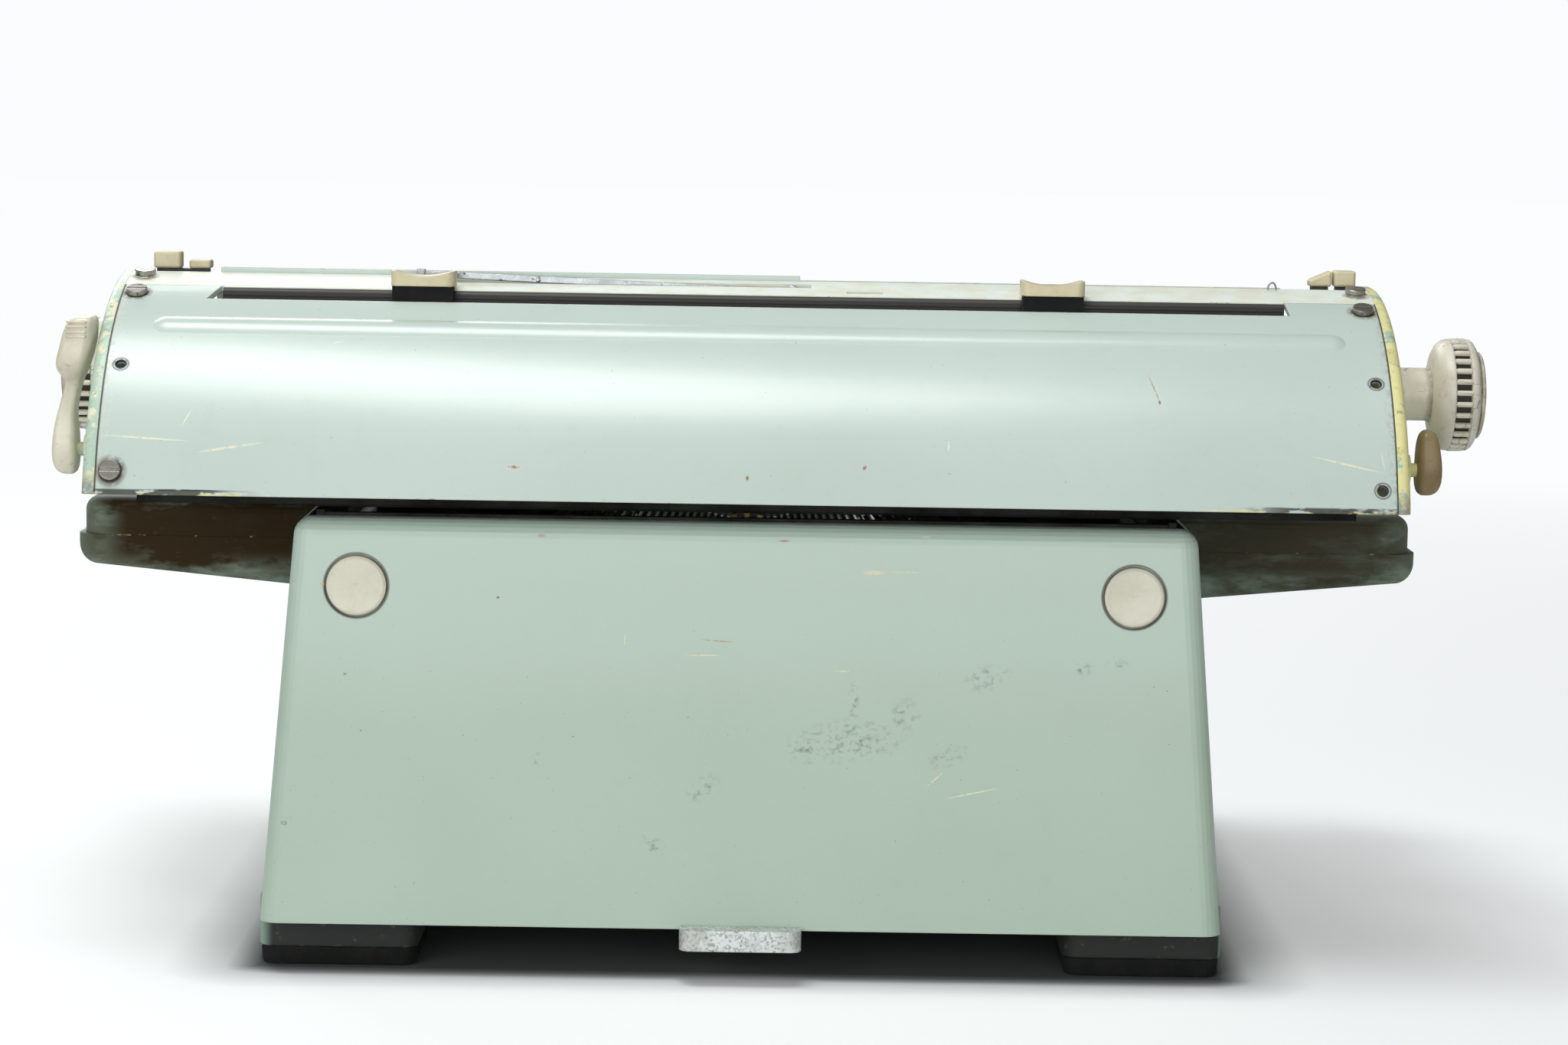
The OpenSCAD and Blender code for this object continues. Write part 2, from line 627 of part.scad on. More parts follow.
// The ribbon from one spool to the other, as straight runs between its guides
ribbon_h = 13;
ribbon_t = 0.3;
guide = [80, 37];
reach = norm(guide - [spool_x, spool_y]);
pack_r = 22 + gap;
lead = atan2(spool_y - guide[1], spool_x - guide[0]) - asin(pack_r / reach);
run = sqrt(reach * reach - pack_r * pack_r);
ribbon_side = [[guide[0] + run * cos(lead), guide[1] + run * sin(lead), spool_z + 1.5],
    [guide[0], guide[1], spool_z + 1.5], [22, platen_y - platen_d / 2 - 0.3, 189.5]];
ribbon_path = concat(ribbon_side, [for (i = [2:-1:0]) [-ribbon_side[i][0], ribbon_side[i][1], ribbon_side[i][2]]]);

module ribbon() place() color("#26242a") for (i = [0:len(ribbon_path) - 2]) hull() for (k = [i, i + 1])
    translate(ribbon_path[k]) cylinder(h = ribbon_h, d = ribbon_t, $fn = 6);

module mainspring_drum() place() color("#8b8f8c") translate([drum_x, drum_y, drum_z]) rotate([-90, 0, 0])
    difference() {
    union() {
        cylinder(h = 16, d = drum_d, $fn = 96);
        translate([0, 0, 16]) cylinder(h = 2, d = 14, $fn = 48);
    }
    translate([0, 0, -1]) cylinder(h = 2.2, d = drum_d - 6, $fn = 96);
    translate([0, 0, -1]) cylinder(h = 20, d = 8 + 2 * fit, $fn = 48);
}

module escapement_wheel() place() color("#b0a46f") translate([0, wheel_y, wheel_z]) rotate([-90, 0, 0])
    difference() {
    r = rail_z + 1 - gap - wheel_z;
    union() {
        cylinder(h = 4, r = r - 3, $fn = 64);
        for (a = [0:15:345]) rotate([0, 0, a]) translate([r - 4, -1, 0]) cube([3.9, 2, 4]);
    }
    translate([0, 0, -1]) cylinder(h = 6, d = 5 + 2 * fit, $fn = 32);
}

// Places a child at typebar number i of the fan, with the pivot at the child's origin
module at_typebar(i) {
    angle = -fan_half + 2 * fan_half * i / (typebar_count - 1);
    translate([0, segment_y, platen_z]) rotate([0, -angle, 0]) translate([0, 0, -typebar_len]) children();
}

// Typebar in its resting place, pivot at the origin
module typebar() {
    along_x(0, typebar_t) rotate(-typebar_rise) difference() {
        union() {
            circle(d = 7, $fn = 32);
            polygon([[0, -3.4], [-20, -2.6], [-typebar_len - 3.5, -1.6], [-typebar_len - 3.5, 1], [-20, 2.4], [0, 3.4]]);
            polygon([[0, -3.4], [2, 3], [4, -0.8], [3.4, -2.4]]);
        }
        circle(d = wire_d + 0.3, $fn = 32);
    }
    rotate([-typebar_rise, 0, 0]) translate([-slug_w / 2, -typebar_len - 3.5, 1]) cube([slug_w, 7, slug_h - 1]);
}

middle_bar = (typebar_count - 1) / 2;

module typebars() place() color("#a4a7a5") for (i = [0:typebar_count - 1])
    if (i != middle_bar) at_typebar(i) typebar();

module middle_typebar() place() color("#a4a7a5") at_typebar(middle_bar) typebar();

// Slotted half ring that holds the typebars on one curved wire
module segment() place() color("#7e8280") {
    difference() {
        along_y(segment_y - segment_t / 2, segment_y + segment_t / 2) translate([0, platen_z]) difference() {
            intersection() {
                circle(r = segment_out, $fn = 128);
                polygon([[0, 0], [-140, -140 / tan(fan_half + 6)], [-140, -140], [140, -140],
                    [140, -140 / tan(fan_half + 6)]]);
            }
            circle(r = segment_in, $fn = 128);
        }
        for (i = [0:typebar_count - 1]) at_typebar(i)
            translate([-typebar_t / 2 - 0.2, -segment_t, -6.5]) cube([typebar_t + 0.4, 2 * segment_t, 30]);
    }
}

// Fork that steadies a typebar just below the platen, on a strap from the segment
module type_guide() place() color("#a4a7a5") {
    y = segment_y + segment_t / 2;
    z = platen_z - platen_d / 2 - 8;
    difference() {
        union() {
            box([-7, segment_y - 5, z - 8], [7, y, z]);
            box([-5, y, platen_z - segment_in - 4], [5, y + 1, z]);
        }
        box([-slug_w / 2 - 0.8, segment_y - 6, z - 9], [slug_w / 2 + 0.8, y - 0.4, z + 1]);
    }
}

// Outline of the carriage's ends: the cover's arc above the carriage's floor, in (Y, Z)
module end_outline(r, front) intersection() {
    translate([cover_axis_y, cover_axis_z]) circle(r = r, $fn = 180);
    translate([front, cover_bottom_z - 5]) square([200, 120]);
}

module end_plate(x) along_x(x, frame_t) difference() {
    intersection() {
        end_outline(cover_r - 6, bail_pivot[0] - 5);
        union() {
            translate([bail_pivot[0] - 4, cover_bottom_z + 0.5]) square([70, 51.5]);
            translate([60, cover_bottom_z + 0.5]) square([110, 21.5]);
        }
    }
    translate([platen_y, platen_z]) circle(d = platen_shaft_d + 2 * fit, $fn = 48);
}

module carriage_frame() place() color("#4a4e4c") {
    both_sides() end_plate(plate_x);
    // Channel that hangs round the rail
    y0 = rail_y - rail_w / 2 - 1 - frame_t;
    y1 = rail_y + rail_w / 2 + 1 + frame_t;
    x = plate_x - frame_t / 2;
    box([-x, y0, carriage_floor_z], [x, y1, carriage_floor_z + frame_t]);
    box([-x, y0, rail_z + 1], [x, y0 + frame_t, carriage_floor_z + 0.01]);
    box([-x, y1 - frame_t, rail_z + 1], [x, y1, carriage_floor_z + 0.01]);
    // Front tie bar under the platen
    box([-x, 66, cover_bottom_z], [x, 70, cover_bottom_z + 8]);
    // Studs of the bail's arms
    both_sides() rod_x(211, x, bail_pivot[0], bail_pivot[1], 4);
    // Stud of the keys on the carriage's top edge
    both_sides() rod_x(206, x + 8, top_pivot[0], top_pivot[1], 4);
    // Lug and pin of the return lever
    box([-x - 8, return_pivot[1] - 5, 196], [-x + 2.2, 70, return_z - gap]);
    translate([return_pivot[0], return_pivot[1], 196]) cylinder(h = 20, d = 4, $fn = 48);
}

// Section of the cover's curved sheet between two distances from the middle
module arc_sheet(y0, y1) intersection() {
    translate([cover_axis_y, cover_axis_z]) difference() {
        circle(r = cover_r, $fn = 180);
        circle(r = cover_r - sheet_t, $fn = 180);
    }
    translate([y0, cover_bottom_z]) square([y1 - y0, 120]);
}

// Raised bead with round ends, as a rod that shows only outside the sheet's middle
module cover_bead() difference() {
    translate([0, cover_axis_y, cover_axis_z]) rotate([bead_angle, 0, 0])
        translate([0, cover_r + bead_rise - bead_r, 0]) {
            rod_x(-bead_half + bead_r / 2, bead_half - bead_r / 2, 0, 0, 2 * bead_r);
            both_sides() translate([bead_half - bead_r / 2, 0, 0]) sphere(r = bead_r, $fn = 64);
        }
    rod_x(-cover_w / 2, cover_w / 2, cover_axis_y, cover_axis_z, 2 * cover_r - sheet_t, $fn = 180);
}

// Places a child on the cover's surface at height z, its Z axis pointing outwards
module on_cover(x, z) translate([x, cover_axis_y, cover_axis_z])
    rotate([-90 + asin((z - cover_axis_z) / cover_r), 0, 0]) translate([0, 0, cover_r]) children();

module cover_hole(x, z) on_cover(x, z) translate([0, 0, -6]) cylinder(h = 12, d = 3.6, $fn = 32);

// The slot in plan, open to the strip in front of it, with one slanted end
module slot_plan(margin) polygon([[-slot_w / 2 - margin, slot_rear], [slot_w / 2 + 1 + margin, slot_rear],
    [slot_w / 2 + 1 - slot_slant + margin, seam_y - 1], [-slot_w / 2 + 1 - margin, seam_y - 1]]);

module rear_cover() place() color("#cdded7") difference() {
    union() {
        along_x(0, cover_w) arc_sheet(seam_y, body_rear_base + 20);
        cover_bead();
    }
    translate([0, 0, top_z - 30]) linear_extrude(60) slot_plan(0);
    for (s = [-1, 1], z = cover_hole_z) cover_hole(s * cover_hole_x, z);
}

// End cap: plate under the cover's arc with a rounded outer edge, inner face at x = 0
module end_cap() difference() {
    translate([0, cover_axis_y, cover_axis_z]) rotate([90, 0, 90]) rotate([0, 0, -90]) rotate_extrude($fn = 180)
        polygon(concat([[0, 0], [cover_r, 0], [cover_r, cap_t - 3]],
            [for (a = [15:15:90]) [cover_r - 3 + 3 * cos(a), cap_t - 3 + 3 * sin(a)]], [[0, cap_t]]));
    box([-1, -100, 0], [cap_t + 1, 300, cover_bottom_z]);
    box([-1, -100, 0], [cap_t + 1, 53, 300]);
    rod_x(-1, cap_t + 1, platen_y, platen_z, platen_shaft_d + 3);
}

module end_cap_with_stud() translate([cover_w / 2, 0, 0]) {
    end_cap();
    rod_x(cap_t - 1, cap_t + 16, release_pivot[0], release_pivot[1], 5);
    rod_x(cap_t - 1, cap_t + 5, release_pivot[0], release_pivot[1], 11);
}

module end_cap_right() place() color("#a9c3ae") end_cap_with_stud();
module end_cap_left() place() color("#dfdfae") mirror([1, 0, 0]) end_cap_with_stud();

module pan_screw() difference() {
    union() {
        cylinder(h = 2, d = 7.4, $fn = 48);
        translate([0, 0, -3]) cylinder(h = 3.01, d = 3, $fn = 32);
    }
    translate([-4, -0.5, 1.2]) cube([8, 1, 2]);
}

module cover_screws() place() color("#86817a") {
    on_cover(cover_hole_x, cover_hole_z[0]) pan_screw();
    for (s = [-1, 1], z = [cover_hole_z[2], strip_hole_z]) on_cover(s * cover_hole_x, z) pan_screw();
}

module paper_table() place() color("#b9cdc2") difference() {
    along_x(0, 2 * (plate_x - 24)) polygon([[102.6, cover_bottom_z + 10], [103.8, cover_bottom_z + 10],
        [103.4, top_z + 1], [101.9, top_z + 1]]);
    box([-plate_x, strip_front - 5, top_z - 0.5], [support_x - 3, strip_front + 2, top_z + 2]);
}

// Strip in front of the slot: curved sheet with a rolled rear edge, a flange on which the margin stops
// slide, a web down to the carriage's floor and the pin of the paper support in its groove
module margin_rail() place() color("#b9cdc2") {
    x0 = -slot_w / 2 + 1 + gap;
    x1 = slot_w / 2 + 1 - slot_slant - gap;
    roll = [slot_front - edge_roll_r,
        cover_axis_z + sqrt(pow(cover_r - edge_roll_r, 2) - pow(slot_front - edge_roll_r - cover_axis_y, 2))];
    difference() {
        union() {
            along_x(0, cover_w) arc_sheet(strip_front, seam_y - gap);
            along_x((x0 + x1) / 2, x1 - x0) {
                arc_sheet(seam_y - 1, roll[0]);
                translate(roll) circle(r = edge_roll_r, $fn = 64);
                translate([slot_front - flange_t - 0.1, flange_z]) square([flange_t, roll[1] - flange_z]);
            }
            along_x(0, slot_w - 2) translate([web_y, carriage_floor_z + frame_t])
                square([frame_t, top_z - 5.2 - carriage_floor_z - frame_t]);
        }
        for (s = [-1, 1]) cover_hole(s * cover_hole_x, strip_hole_z);
        box([support_x - 7, support_y - groove_half, 232],
            [support_x + support_len + 2, support_y + groove_half, top_z + 1]);
        box([-48, web_y, 236], [-35, web_y + 2, top_z + 1]);
    }
    for (s = [-1, 1]) box([support_x - 3, support_y + s * (groove_half + 1) - 1, support_z - 2.4],
        [support_x + 3, support_y + s * (groove_half + 1) + 1, support_z + (s < 0 ? 1.6 : 0.4)]);
    rod_y(support_y - groove_half - 1, support_y + groove_half + 1, support_x, support_z, support_pin_d);
}

// Margin stop key: black foot that hooks round the flange, and a saddle-topped cap
module margin_stop(x) translate([x, slot_front, 0]) {
    half = stop_w / 2 - 0.5;
    color("#151515") {
        box([-half, 0.5, flange_z - 2.3], [half, 6.8, stop_cap_z]);
        box([-half, -3.5, flange_z - 2.3], [half, 0.6, flange_z - gap]);
        box([-half, -3.5, flange_z - 1], [half, -flange_t - 0.1 - gap, flange_z + 3]);
    }
    color("#e9e4d0") difference() {
        translate([0, 0.4, stop_cap_z]) linear_extrude(5.4) round_rect(stop_w, 14, 3);
        rod_y(-20, 20, 0, stop_cap_z + 3.6 + 30, 60, $fn = 120);
    }
}

module margin_stop_left() place() margin_stop(stop_left_x);
module margin_stop_right() place() margin_stop(stop_right_x);

module platen() place() {
    color("#202020") difference() {
        rod_x(-platen_len / 2, platen_len / 2, platen_y, platen_z, platen_d);
        rod_x(-platen_len / 2 - 1, platen_len / 2 + 1, platen_y, platen_z, platen_shaft_d);
    }
    color("#8b8f8c") rod_x(-knob_left_x + 6, knob_right_x - 6, platen_y, platen_z, platen_shaft_d);
}

// Ribbed knob along +X: sleeve from the cap, flare, ribbed ring and a smaller face disc
module knob(sleeve) difference() {
    union() {
        rotate([0, 90, 0]) rotate_extrude($fn = 120) polygon([[platen_shaft_d / 2, -sleeve], [10, -sleeve], [10, -6],
            [13, -2], [18, 0], [knob_d / 2 - 1.4, 0], [knob_d / 2 - 1.4, 12.5], [15.5, 14], [15.5, 16.5],
            [13.5, 17.2], [platen_shaft_d / 2, 17.2]]);
        for (i = [0:knob_ribs - 1]) rotate([i * 360 / knob_ribs, 0, 0])
            translate([0.6, 0, 0]) box([0, -1.2, knob_d / 2 - 3], [11.4, 1.2, knob_d / 2]);
    }
}

module knob_left() place() color("#d9d2bd") mirror([1, 0, 0])
    translate([knob_left_x - 17.2, platen_y, platen_z]) knob(knob_left_x - 17.2 - cover_w / 2 - cap_t - gap);
module knob_right() place() color("#d9d2bd")
    translate([knob_right_x - 17.2, platen_y, platen_z]) knob(knob_right_x - 17.2 - cover_w / 2 - cap_t - gap);

// Feed roller: shaft with rubber sleeves, side = -1 in front of the platen's lowest line, +1 behind
module feed_roller(side) {
    reach = platen_d / 2 + roller_d / 2 + roller_gap;
    y = platen_y + side * reach * cos(roller_angle);
    z = platen_z - reach * sin(roller_angle);
    color("#8b8f8c") rod_x(-plate_x + 4, plate_x - 4, y, z, 4);
    color("#202020") for (x = [-150:75:150]) difference() {
        rod_x(x - 22, x + 22, y, z, roller_d);
        rod_x(x - 23, x + 23, y, z, 4);
    }
}

module feed_roller_front() place() feed_roller(-1);
module feed_roller_rear() place() feed_roller(1);

bail_rod_y = platen_y - (platen_d / 2 + bail_roller_d / 2 + gap) * cos(25);
bail_rod_z = platen_z + (platen_d / 2 + bail_roller_d / 2 + gap) * sin(25);

module paper_bail() place() {
    color("#c9cccb") {
        both_sides() along_x(212.5, 3) difference() {
            union() {
                translate(bail_pivot) circle(d = 8, $fn = 48);
                translate([bail_rod_y, bail_rod_z]) circle(d = 7, $fn = 48);
                polygon([[bail_pivot[0] - 3.5, bail_pivot[1]], [bail_pivot[0] + 1, bail_pivot[1]],
                    [bail_rod_y + 3, bail_rod_z], [bail_rod_y - 3, bail_rod_z]]);
            }
            translate(bail_pivot) circle(d = 4 + 2 * fit, $fn = 48);
        }
        rod_x(-213, 213, bail_rod_y, bail_rod_z, bail_rod_d);
    }
    color("#202020") for (x = [-120, -40, 40, 120]) difference() {
        rod_x(x - 5, x + 5, bail_rod_y, bail_rod_z, bail_roller_d);
        rod_x(x - 6, x + 6, bail_rod_y, bail_rod_z, bail_rod_d);
    }
}

// Folding paper support, at rest in the strip's groove
module paper_support() place() color("#cfd2d2") translate([support_x, support_y, support_z])
    rotate([0, -support_rise, 0]) difference() {
        union() {
            rod_y(-1.7, 1.7, 0, 0, 5.2);
            box([0, -0.8, -1.2], [support_len - 1, 0.8, 1.2]);
            box([support_len - 3, -1.2, -1.5], [support_len, 1.2, 1.7]);
        }
        rod_y(-3, 3, 0, 0, support_pin_d + 2 * fit);
    }

// Cream release lever at a carriage end: boss, arm and thumb pad, for the +X side
module release_lever() {
    x = cover_w / 2 + cap_t + 2;
    difference() {
        union() {
            rod_x(x + 3 + gap, x + 13, release_pivot[0], release_pivot[1], 17);
            hull() {
                rod_x(x + 6, x + 12, release_pivot[0], release_pivot[1], 15);
                rod_x(x + 4, x + 9, release_pivot[0] - 2, release_pivot[1] + 21, 10);
            }
            hull() {
                rod_x(x + 4, x + 9, release_pivot[0] - 2, release_pivot[1] + 21, 10);
                box([x + 1, release_pivot[0] - 12, release_pivot[1] + 28],
                    [x + 11, release_pivot[0] + 8, release_pivot[1] + 40]);
            }
        }
        rod_x(x, x + 20, release_pivot[0], release_pivot[1], 5 + 2 * fit);
    }
}

module release_lever_right() place() color("#d9cfae") release_lever();
module release_lever_left() place() color("#d9cfae") mirror([1, 0, 0]) release_lever();

module return_lever() place() color("#c9cccb") translate([return_pivot[0], return_pivot[1], return_z])
    difference() {
    union() {
        cylinder(h = 12, d = 10, $fn = 48);
        translate([0, 0, 3]) linear_extrude(3) {
            translate([-4, -78]) square([8, 78]);
            translate([0, -78]) circle(d = 16, $fn = 48);
        }
    }
    translate([0, 0, -1]) cylinder(h = 20, d = 4 + 2 * fit, $fn = 48);
}

// Steel part of a small key on the carriage's top edge: hub, stem and the bar that carries the caps
module top_stem(x, x0, x1) color("#151515") {
    y = top_pivot[0];
    along_x(x, 2) difference() {
        union() {
            translate(top_pivot) circle(d = 9, $fn = 48);
            translate([y - 3, top_pivot[1]]) square([6, top_z - top_pivot[1]]);
        }
        translate(top_pivot) circle(d = 4 + 2 * fit, $fn = 48);
    }
    box([x0, y - 3, top_z - 3], [x1, y + 3, top_z]);
}

module top_cap(x0, x1, h) color("#e9e4d0") translate([(x0 + x1) / 2, top_pivot[0], top_z + seat])
    linear_extrude(h - seat) round_rect(x1 - x0, 8, 1.2);

module paper_release_lever() place() {
    top_stem(214, 200, 219);
    top_cap(210, 220, 6.2);
    top_cap(199, 207, 3.3);
}

// Wedge-shaped cap, low on its inner side
module line_space_selector() place() {
    top_stem(-212, -213, -207);
    color("#e9e4d0") along_y(top_pivot[0] - 4, top_pivot[0] + 4)
        polygon([[-214, top_z + seat], [-206, top_z + seat], [-206, top_z + 2.4], [-214, top_z + 5.9]]);
}

module ratchet_release_lever() place() {
    top_stem(-222.5, -223.5, -216);
    top_cap(-223, -215, 5.9);
}

main_housing();
housing_plugs();
bottom_pan();
side_frames();
inner_frame();
foot_brackets();
rubber_feet();
rear_lip();
deck_lower();
deck_upper();
keyboard_surround();
key_comb();
fulcrum_rod();
carriage_rail();
spool_cups();
bell();
ribbon_cover();
key_row_1();
key_row_2();
key_row_3();
key_row_4();
middle_key();
space_bar();
shift_key_left();
shift_key_right();
shift_lock_key();
backspace_key();
tabulator_key();
margin_release_key();
ribbon_spool_left();
ribbon_spool_right();
ribbon();
mainspring_drum();
escapement_wheel();
segment();
typebars();
middle_typebar();
type_guide();
carriage_frame();
rear_cover();
end_cap_left();
end_cap_right();
cover_screws();
paper_table();
margin_rail();
margin_stop_left();
margin_stop_right();
platen();
knob_left();
knob_right();
feed_roller_front();
feed_roller_rear();
paper_bail();
paper_support();
release_lever_left();
release_lever_right();
return_lever();
paper_release_lever();
line_space_selector();
ratchet_release_lever();
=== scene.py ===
"""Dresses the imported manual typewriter: its finishes, its small repeated parts, the studio and the camera."""

import logging
import math
from collections.abc import Callable, Iterable
from dataclasses import dataclass, field
from enum import Enum

import bmesh
import bpy
from mathutils import Matrix, Vector


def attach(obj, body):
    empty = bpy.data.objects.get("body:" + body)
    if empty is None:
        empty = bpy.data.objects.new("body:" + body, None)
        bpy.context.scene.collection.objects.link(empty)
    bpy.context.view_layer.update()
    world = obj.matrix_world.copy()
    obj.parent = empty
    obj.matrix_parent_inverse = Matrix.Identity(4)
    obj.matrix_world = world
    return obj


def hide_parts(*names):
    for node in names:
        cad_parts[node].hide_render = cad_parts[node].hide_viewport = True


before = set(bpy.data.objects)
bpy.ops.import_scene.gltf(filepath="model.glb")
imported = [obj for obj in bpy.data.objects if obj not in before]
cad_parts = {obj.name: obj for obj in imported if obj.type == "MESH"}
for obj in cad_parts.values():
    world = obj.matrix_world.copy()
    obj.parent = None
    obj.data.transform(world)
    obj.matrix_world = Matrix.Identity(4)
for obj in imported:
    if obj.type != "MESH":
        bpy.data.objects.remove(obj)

log = logging.getLogger("typewriter")

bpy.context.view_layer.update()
DATUM = 9.25  # mm from the machine's middle to the middle of the body, as in the part's source
PLATEN = (80.0, 205.0)  # mm, Y and Z of the platen's axis
KNOB_FACES = (-275.5, 257.0)  # mm, X of the left and the right knob's face
PANEL_Y = 176.0  # mm, Y about which the marks on the panel and the cover are centred
PLUG_PLACES = ((137.0, 171.0, 138.5), (-137.0, 171.0, 138.5))  # mm
SHARP = 38.0  # degrees above which an edge is drawn sharp
Point = tuple[float, float, float]
Colour = tuple[float, float, float, float]
Socket = bpy.types.NodeSocket


class Axis(Enum):
    """Direction of a band or of a turned piece."""

    X = 0
    Y = 1
    Z = 2


class Side(Enum):
    """Side of the machine, as the typist sees it."""

    LEFT = -1
    RIGHT = 1


def linear(code: str) -> Colour:
    """Turns an sRGB hex value into a linear colour.

    Args:
        code: the colour as six hex digits after a hash.

    Returns:
        The linear red, green and blue, and full opacity.
    """
    parts = [int(code[i : i + 2], 16) / 255 for i in (1, 3, 5)]
    r, g, b = (c / 12.92 if c <= 0.04045 else ((c + 0.055) / 1.055) ** 2.4 for c in parts)
    return (r, g, b, 1.0)


def metres(x: float, y: float, z: float) -> Vector:
    """Turns a place about the body's middle, in millimetres, into the frame's metres."""
    return Vector(((x + DATUM) / 1000, y / 1000, z / 1000))


def add(tree: bpy.types.NodeTree, kind: str, inputs: dict | None = None, **settings: object) -> bpy.types.Node:
    """Adds one node with its settings, values and links.

    Args:
        tree: the tree that gets the node.
        kind: the node's type name.
        inputs: what goes into each input, by name or number: a socket is linked, anything else is set.
        settings: properties of the node itself.

    Returns:
        The new node.
    """
    made = tree.nodes.new(kind)
    for name, value in settings.items():
        setattr(made, name, value)
    for key, value in (inputs or {}).items():
        if isinstance(value, Socket):
            tree.links.new(value, made.inputs[key])
        else:
            made.inputs[key].default_value = value
    return made


def put(name: str, data: bpy.types.ID) -> bpy.types.Object:
    """Adds an object to the scene.

    Args:
        name: the object's name.
        data: the mesh, lamp or camera that it holds.

    Returns:
        The object.
    """
    made = bpy.data.objects.new(name, data)
    bpy.context.scene.collection.objects.link(made)
    return made


class Coat:
    """A finish as it is built up: one shader whose colour, roughness and height are laid on in layers."""

    def __init__(self, name: str, base: str, roughness: float, edge_mm: float = 0.6, **uniform: float) -> None:
        """Starts a coat with its even colour.

        Args:
            name: the material's name.
            base: sRGB hex of the clean surface.
            roughness: roughness of the clean surface.
            edge_mm: radius to which sharp edges look rounded.
            uniform: values of the shader's own sockets that are the same all over.
        """
        self.material = bpy.data.materials.new(name)
        self.material.use_nodes = True
        self.tree = self.material.node_tree
        self.tree.nodes.clear()
        self.shader = add(self.tree, "ShaderNodeBsdfPrincipled", uniform)
        add(self.tree, "ShaderNodeOutputMaterial", {0: self.shader.outputs[0]})
        place = add(self.tree, "ShaderNodeTexCoord").outputs["Object"]
        self.mm = self.math("MULTIPLY", place, (1000.0, 1000.0, 1000.0))
        self.mm = self.math("SUBTRACT", self.mm, (DATUM, 0.0, 0.0))
        self.colour: Socket | Colour = linear(base)
        self.roughness: Socket | float = roughness
        self.height: Socket | float = 0.0
        self.bevel = add(self.tree, "ShaderNodeBevel", {"Radius": edge_mm / 1000}, samples=4) if edge_mm else None

    def math(self, operation: str, first: Socket | Point, second: Socket | Point) -> Socket:
        """Combines two places or directions."""
        return add(self.tree, "ShaderNodeVectorMath", {0: first, 1: second}, operation=operation).outputs[0]

    def patches(self, size: float, low: float, high: float, seed: float = 0.0, detail: float = 4.0,
                stretch: Point = (1.0, 1.0, 1.0)) -> Socket:
        """Irregular patches, such as stains, chips or grain.

        Args:
            size: usual size of a patch in millimetres.
            low: noise level at which a patch begins.
            high: noise level at which it is full.
            seed: moves the pattern, so that no two layers agree.
            detail: how ragged the rims are.
            stretch: how much longer the patches are along each axis.

        Returns:
            A mask from 0 to 1.
        """
        scale = tuple(1 / (size * s) for s in stretch)
        place = self.math("MULTIPLY", self.mm, scale)
        place = self.math("ADD", place, (seed * 7.3, seed * 3.1, seed * 5.7))
        inputs = {"Vector": place, "Scale": 1.0, "Detail": detail, "Roughness": 0.62}
        noise = add(self.tree, "ShaderNodeTexNoise", inputs)
        return add(self.tree, "ShaderNodeMapRange", {0: noise.outputs[0], 1: low, 2: high, 3: 0.0, 4: 1.0}).outputs[0]

    def band(self, axis: Axis, start: float, end: float) -> Socket:
        """Soft step along an axis.

        Args:
            axis: the axis.
            start: where the step begins, in millimetres about the body's middle.
            end: where it is full, which may lie on either side of start.

        Returns:
            A mask from 0 at start to 1 at end.
        """
        split = add(self.tree, "ShaderNodeSeparateXYZ", {0: self.mm})
        flip = start > end
        low, high = sorted((start, end))
        inputs = {0: split.outputs[axis.value], 1: low, 2: high, 3: float(flip), 4: float(not flip)}
        return add(self.tree, "ShaderNodeMapRange", inputs, interpolation_type="SMOOTHSTEP").outputs[0]

    def spot(self, centre: Point, radii: Point, turn: float = 0.0, rim: float = 0.6) -> Socket:
        """Soft ellipse at one place, or a scratch where one radius is long.

        Args:
            centre: its middle in millimetres.
            radii: its half lengths in millimetres.
            turn: degrees by which it is turned about Y.
            rim: share of the radius that is solid.

        Returns:
            A mask from 0 to 1.
        """
        local = add(self.tree, "ShaderNodeMapping",
                    {0: self.mm, 1: centre, 2: (0.0, math.radians(turn), 0.0), 3: radii}, vector_type="TEXTURE")
        reach = add(self.tree, "ShaderNodeVectorMath", {0: local.outputs[0]}, operation="LENGTH").outputs["Value"]
        return add(self.tree, "ShaderNodeMapRange", {0: reach, 1: rim, 2: 1.0, 3: 1.0, 4: 0.0}).outputs[0]

    def dot(self, centre: Point, radius: float, rim: float) -> Socket:
        """Mask of a ball: a round spot where the surface cuts it."""
        return self.spot(centre, (radius, radius, radius), 0.0, rim)

    def blend(self, operation: str, *masks: Socket | float) -> Socket:
        """Combines masks.

        Args:
            operation: MULTIPLY keeps what they share, MAXIMUM what any of them has.
            masks: the masks.

        Returns:
            One mask.
        """
        found = masks[0]
        for mask in masks[1:]:
            both = add(self.tree, "ShaderNodeMath", {0: found, 1: mask}, operation=operation, use_clamp=True)
            found = both.outputs[0]
        return found

    def shared(self, *masks: Socket | float) -> Socket:
        """Mask of what all the given masks share."""
        return self.blend("MULTIPLY", *masks)

    def edges(self, low: float = 0.02, high: float = 0.12) -> Socket:
        """Finds the convex and concave edges by how far the rounded normal turns from the flat one.

        Args:
            low: turn at which the mask begins.
            high: turn at which it is full.

        Returns:
            A mask from 0 to 1.
        """
        flat = add(self.tree, "ShaderNodeNewGeometry").outputs["Normal"]
        dot = add(self.tree, "ShaderNodeVectorMath", {0: self.bevel.outputs[0], 1: flat}, operation="DOT_PRODUCT")
        turn = add(self.tree, "ShaderNodeMath", {0: 1.0, 1: dot.outputs["Value"]}, operation="SUBTRACT").outputs[0]
        return add(self.tree, "ShaderNodeMapRange", {0: turn, 1: low, 2: high, 3: 0.0, 4: 1.0}).outputs[0]

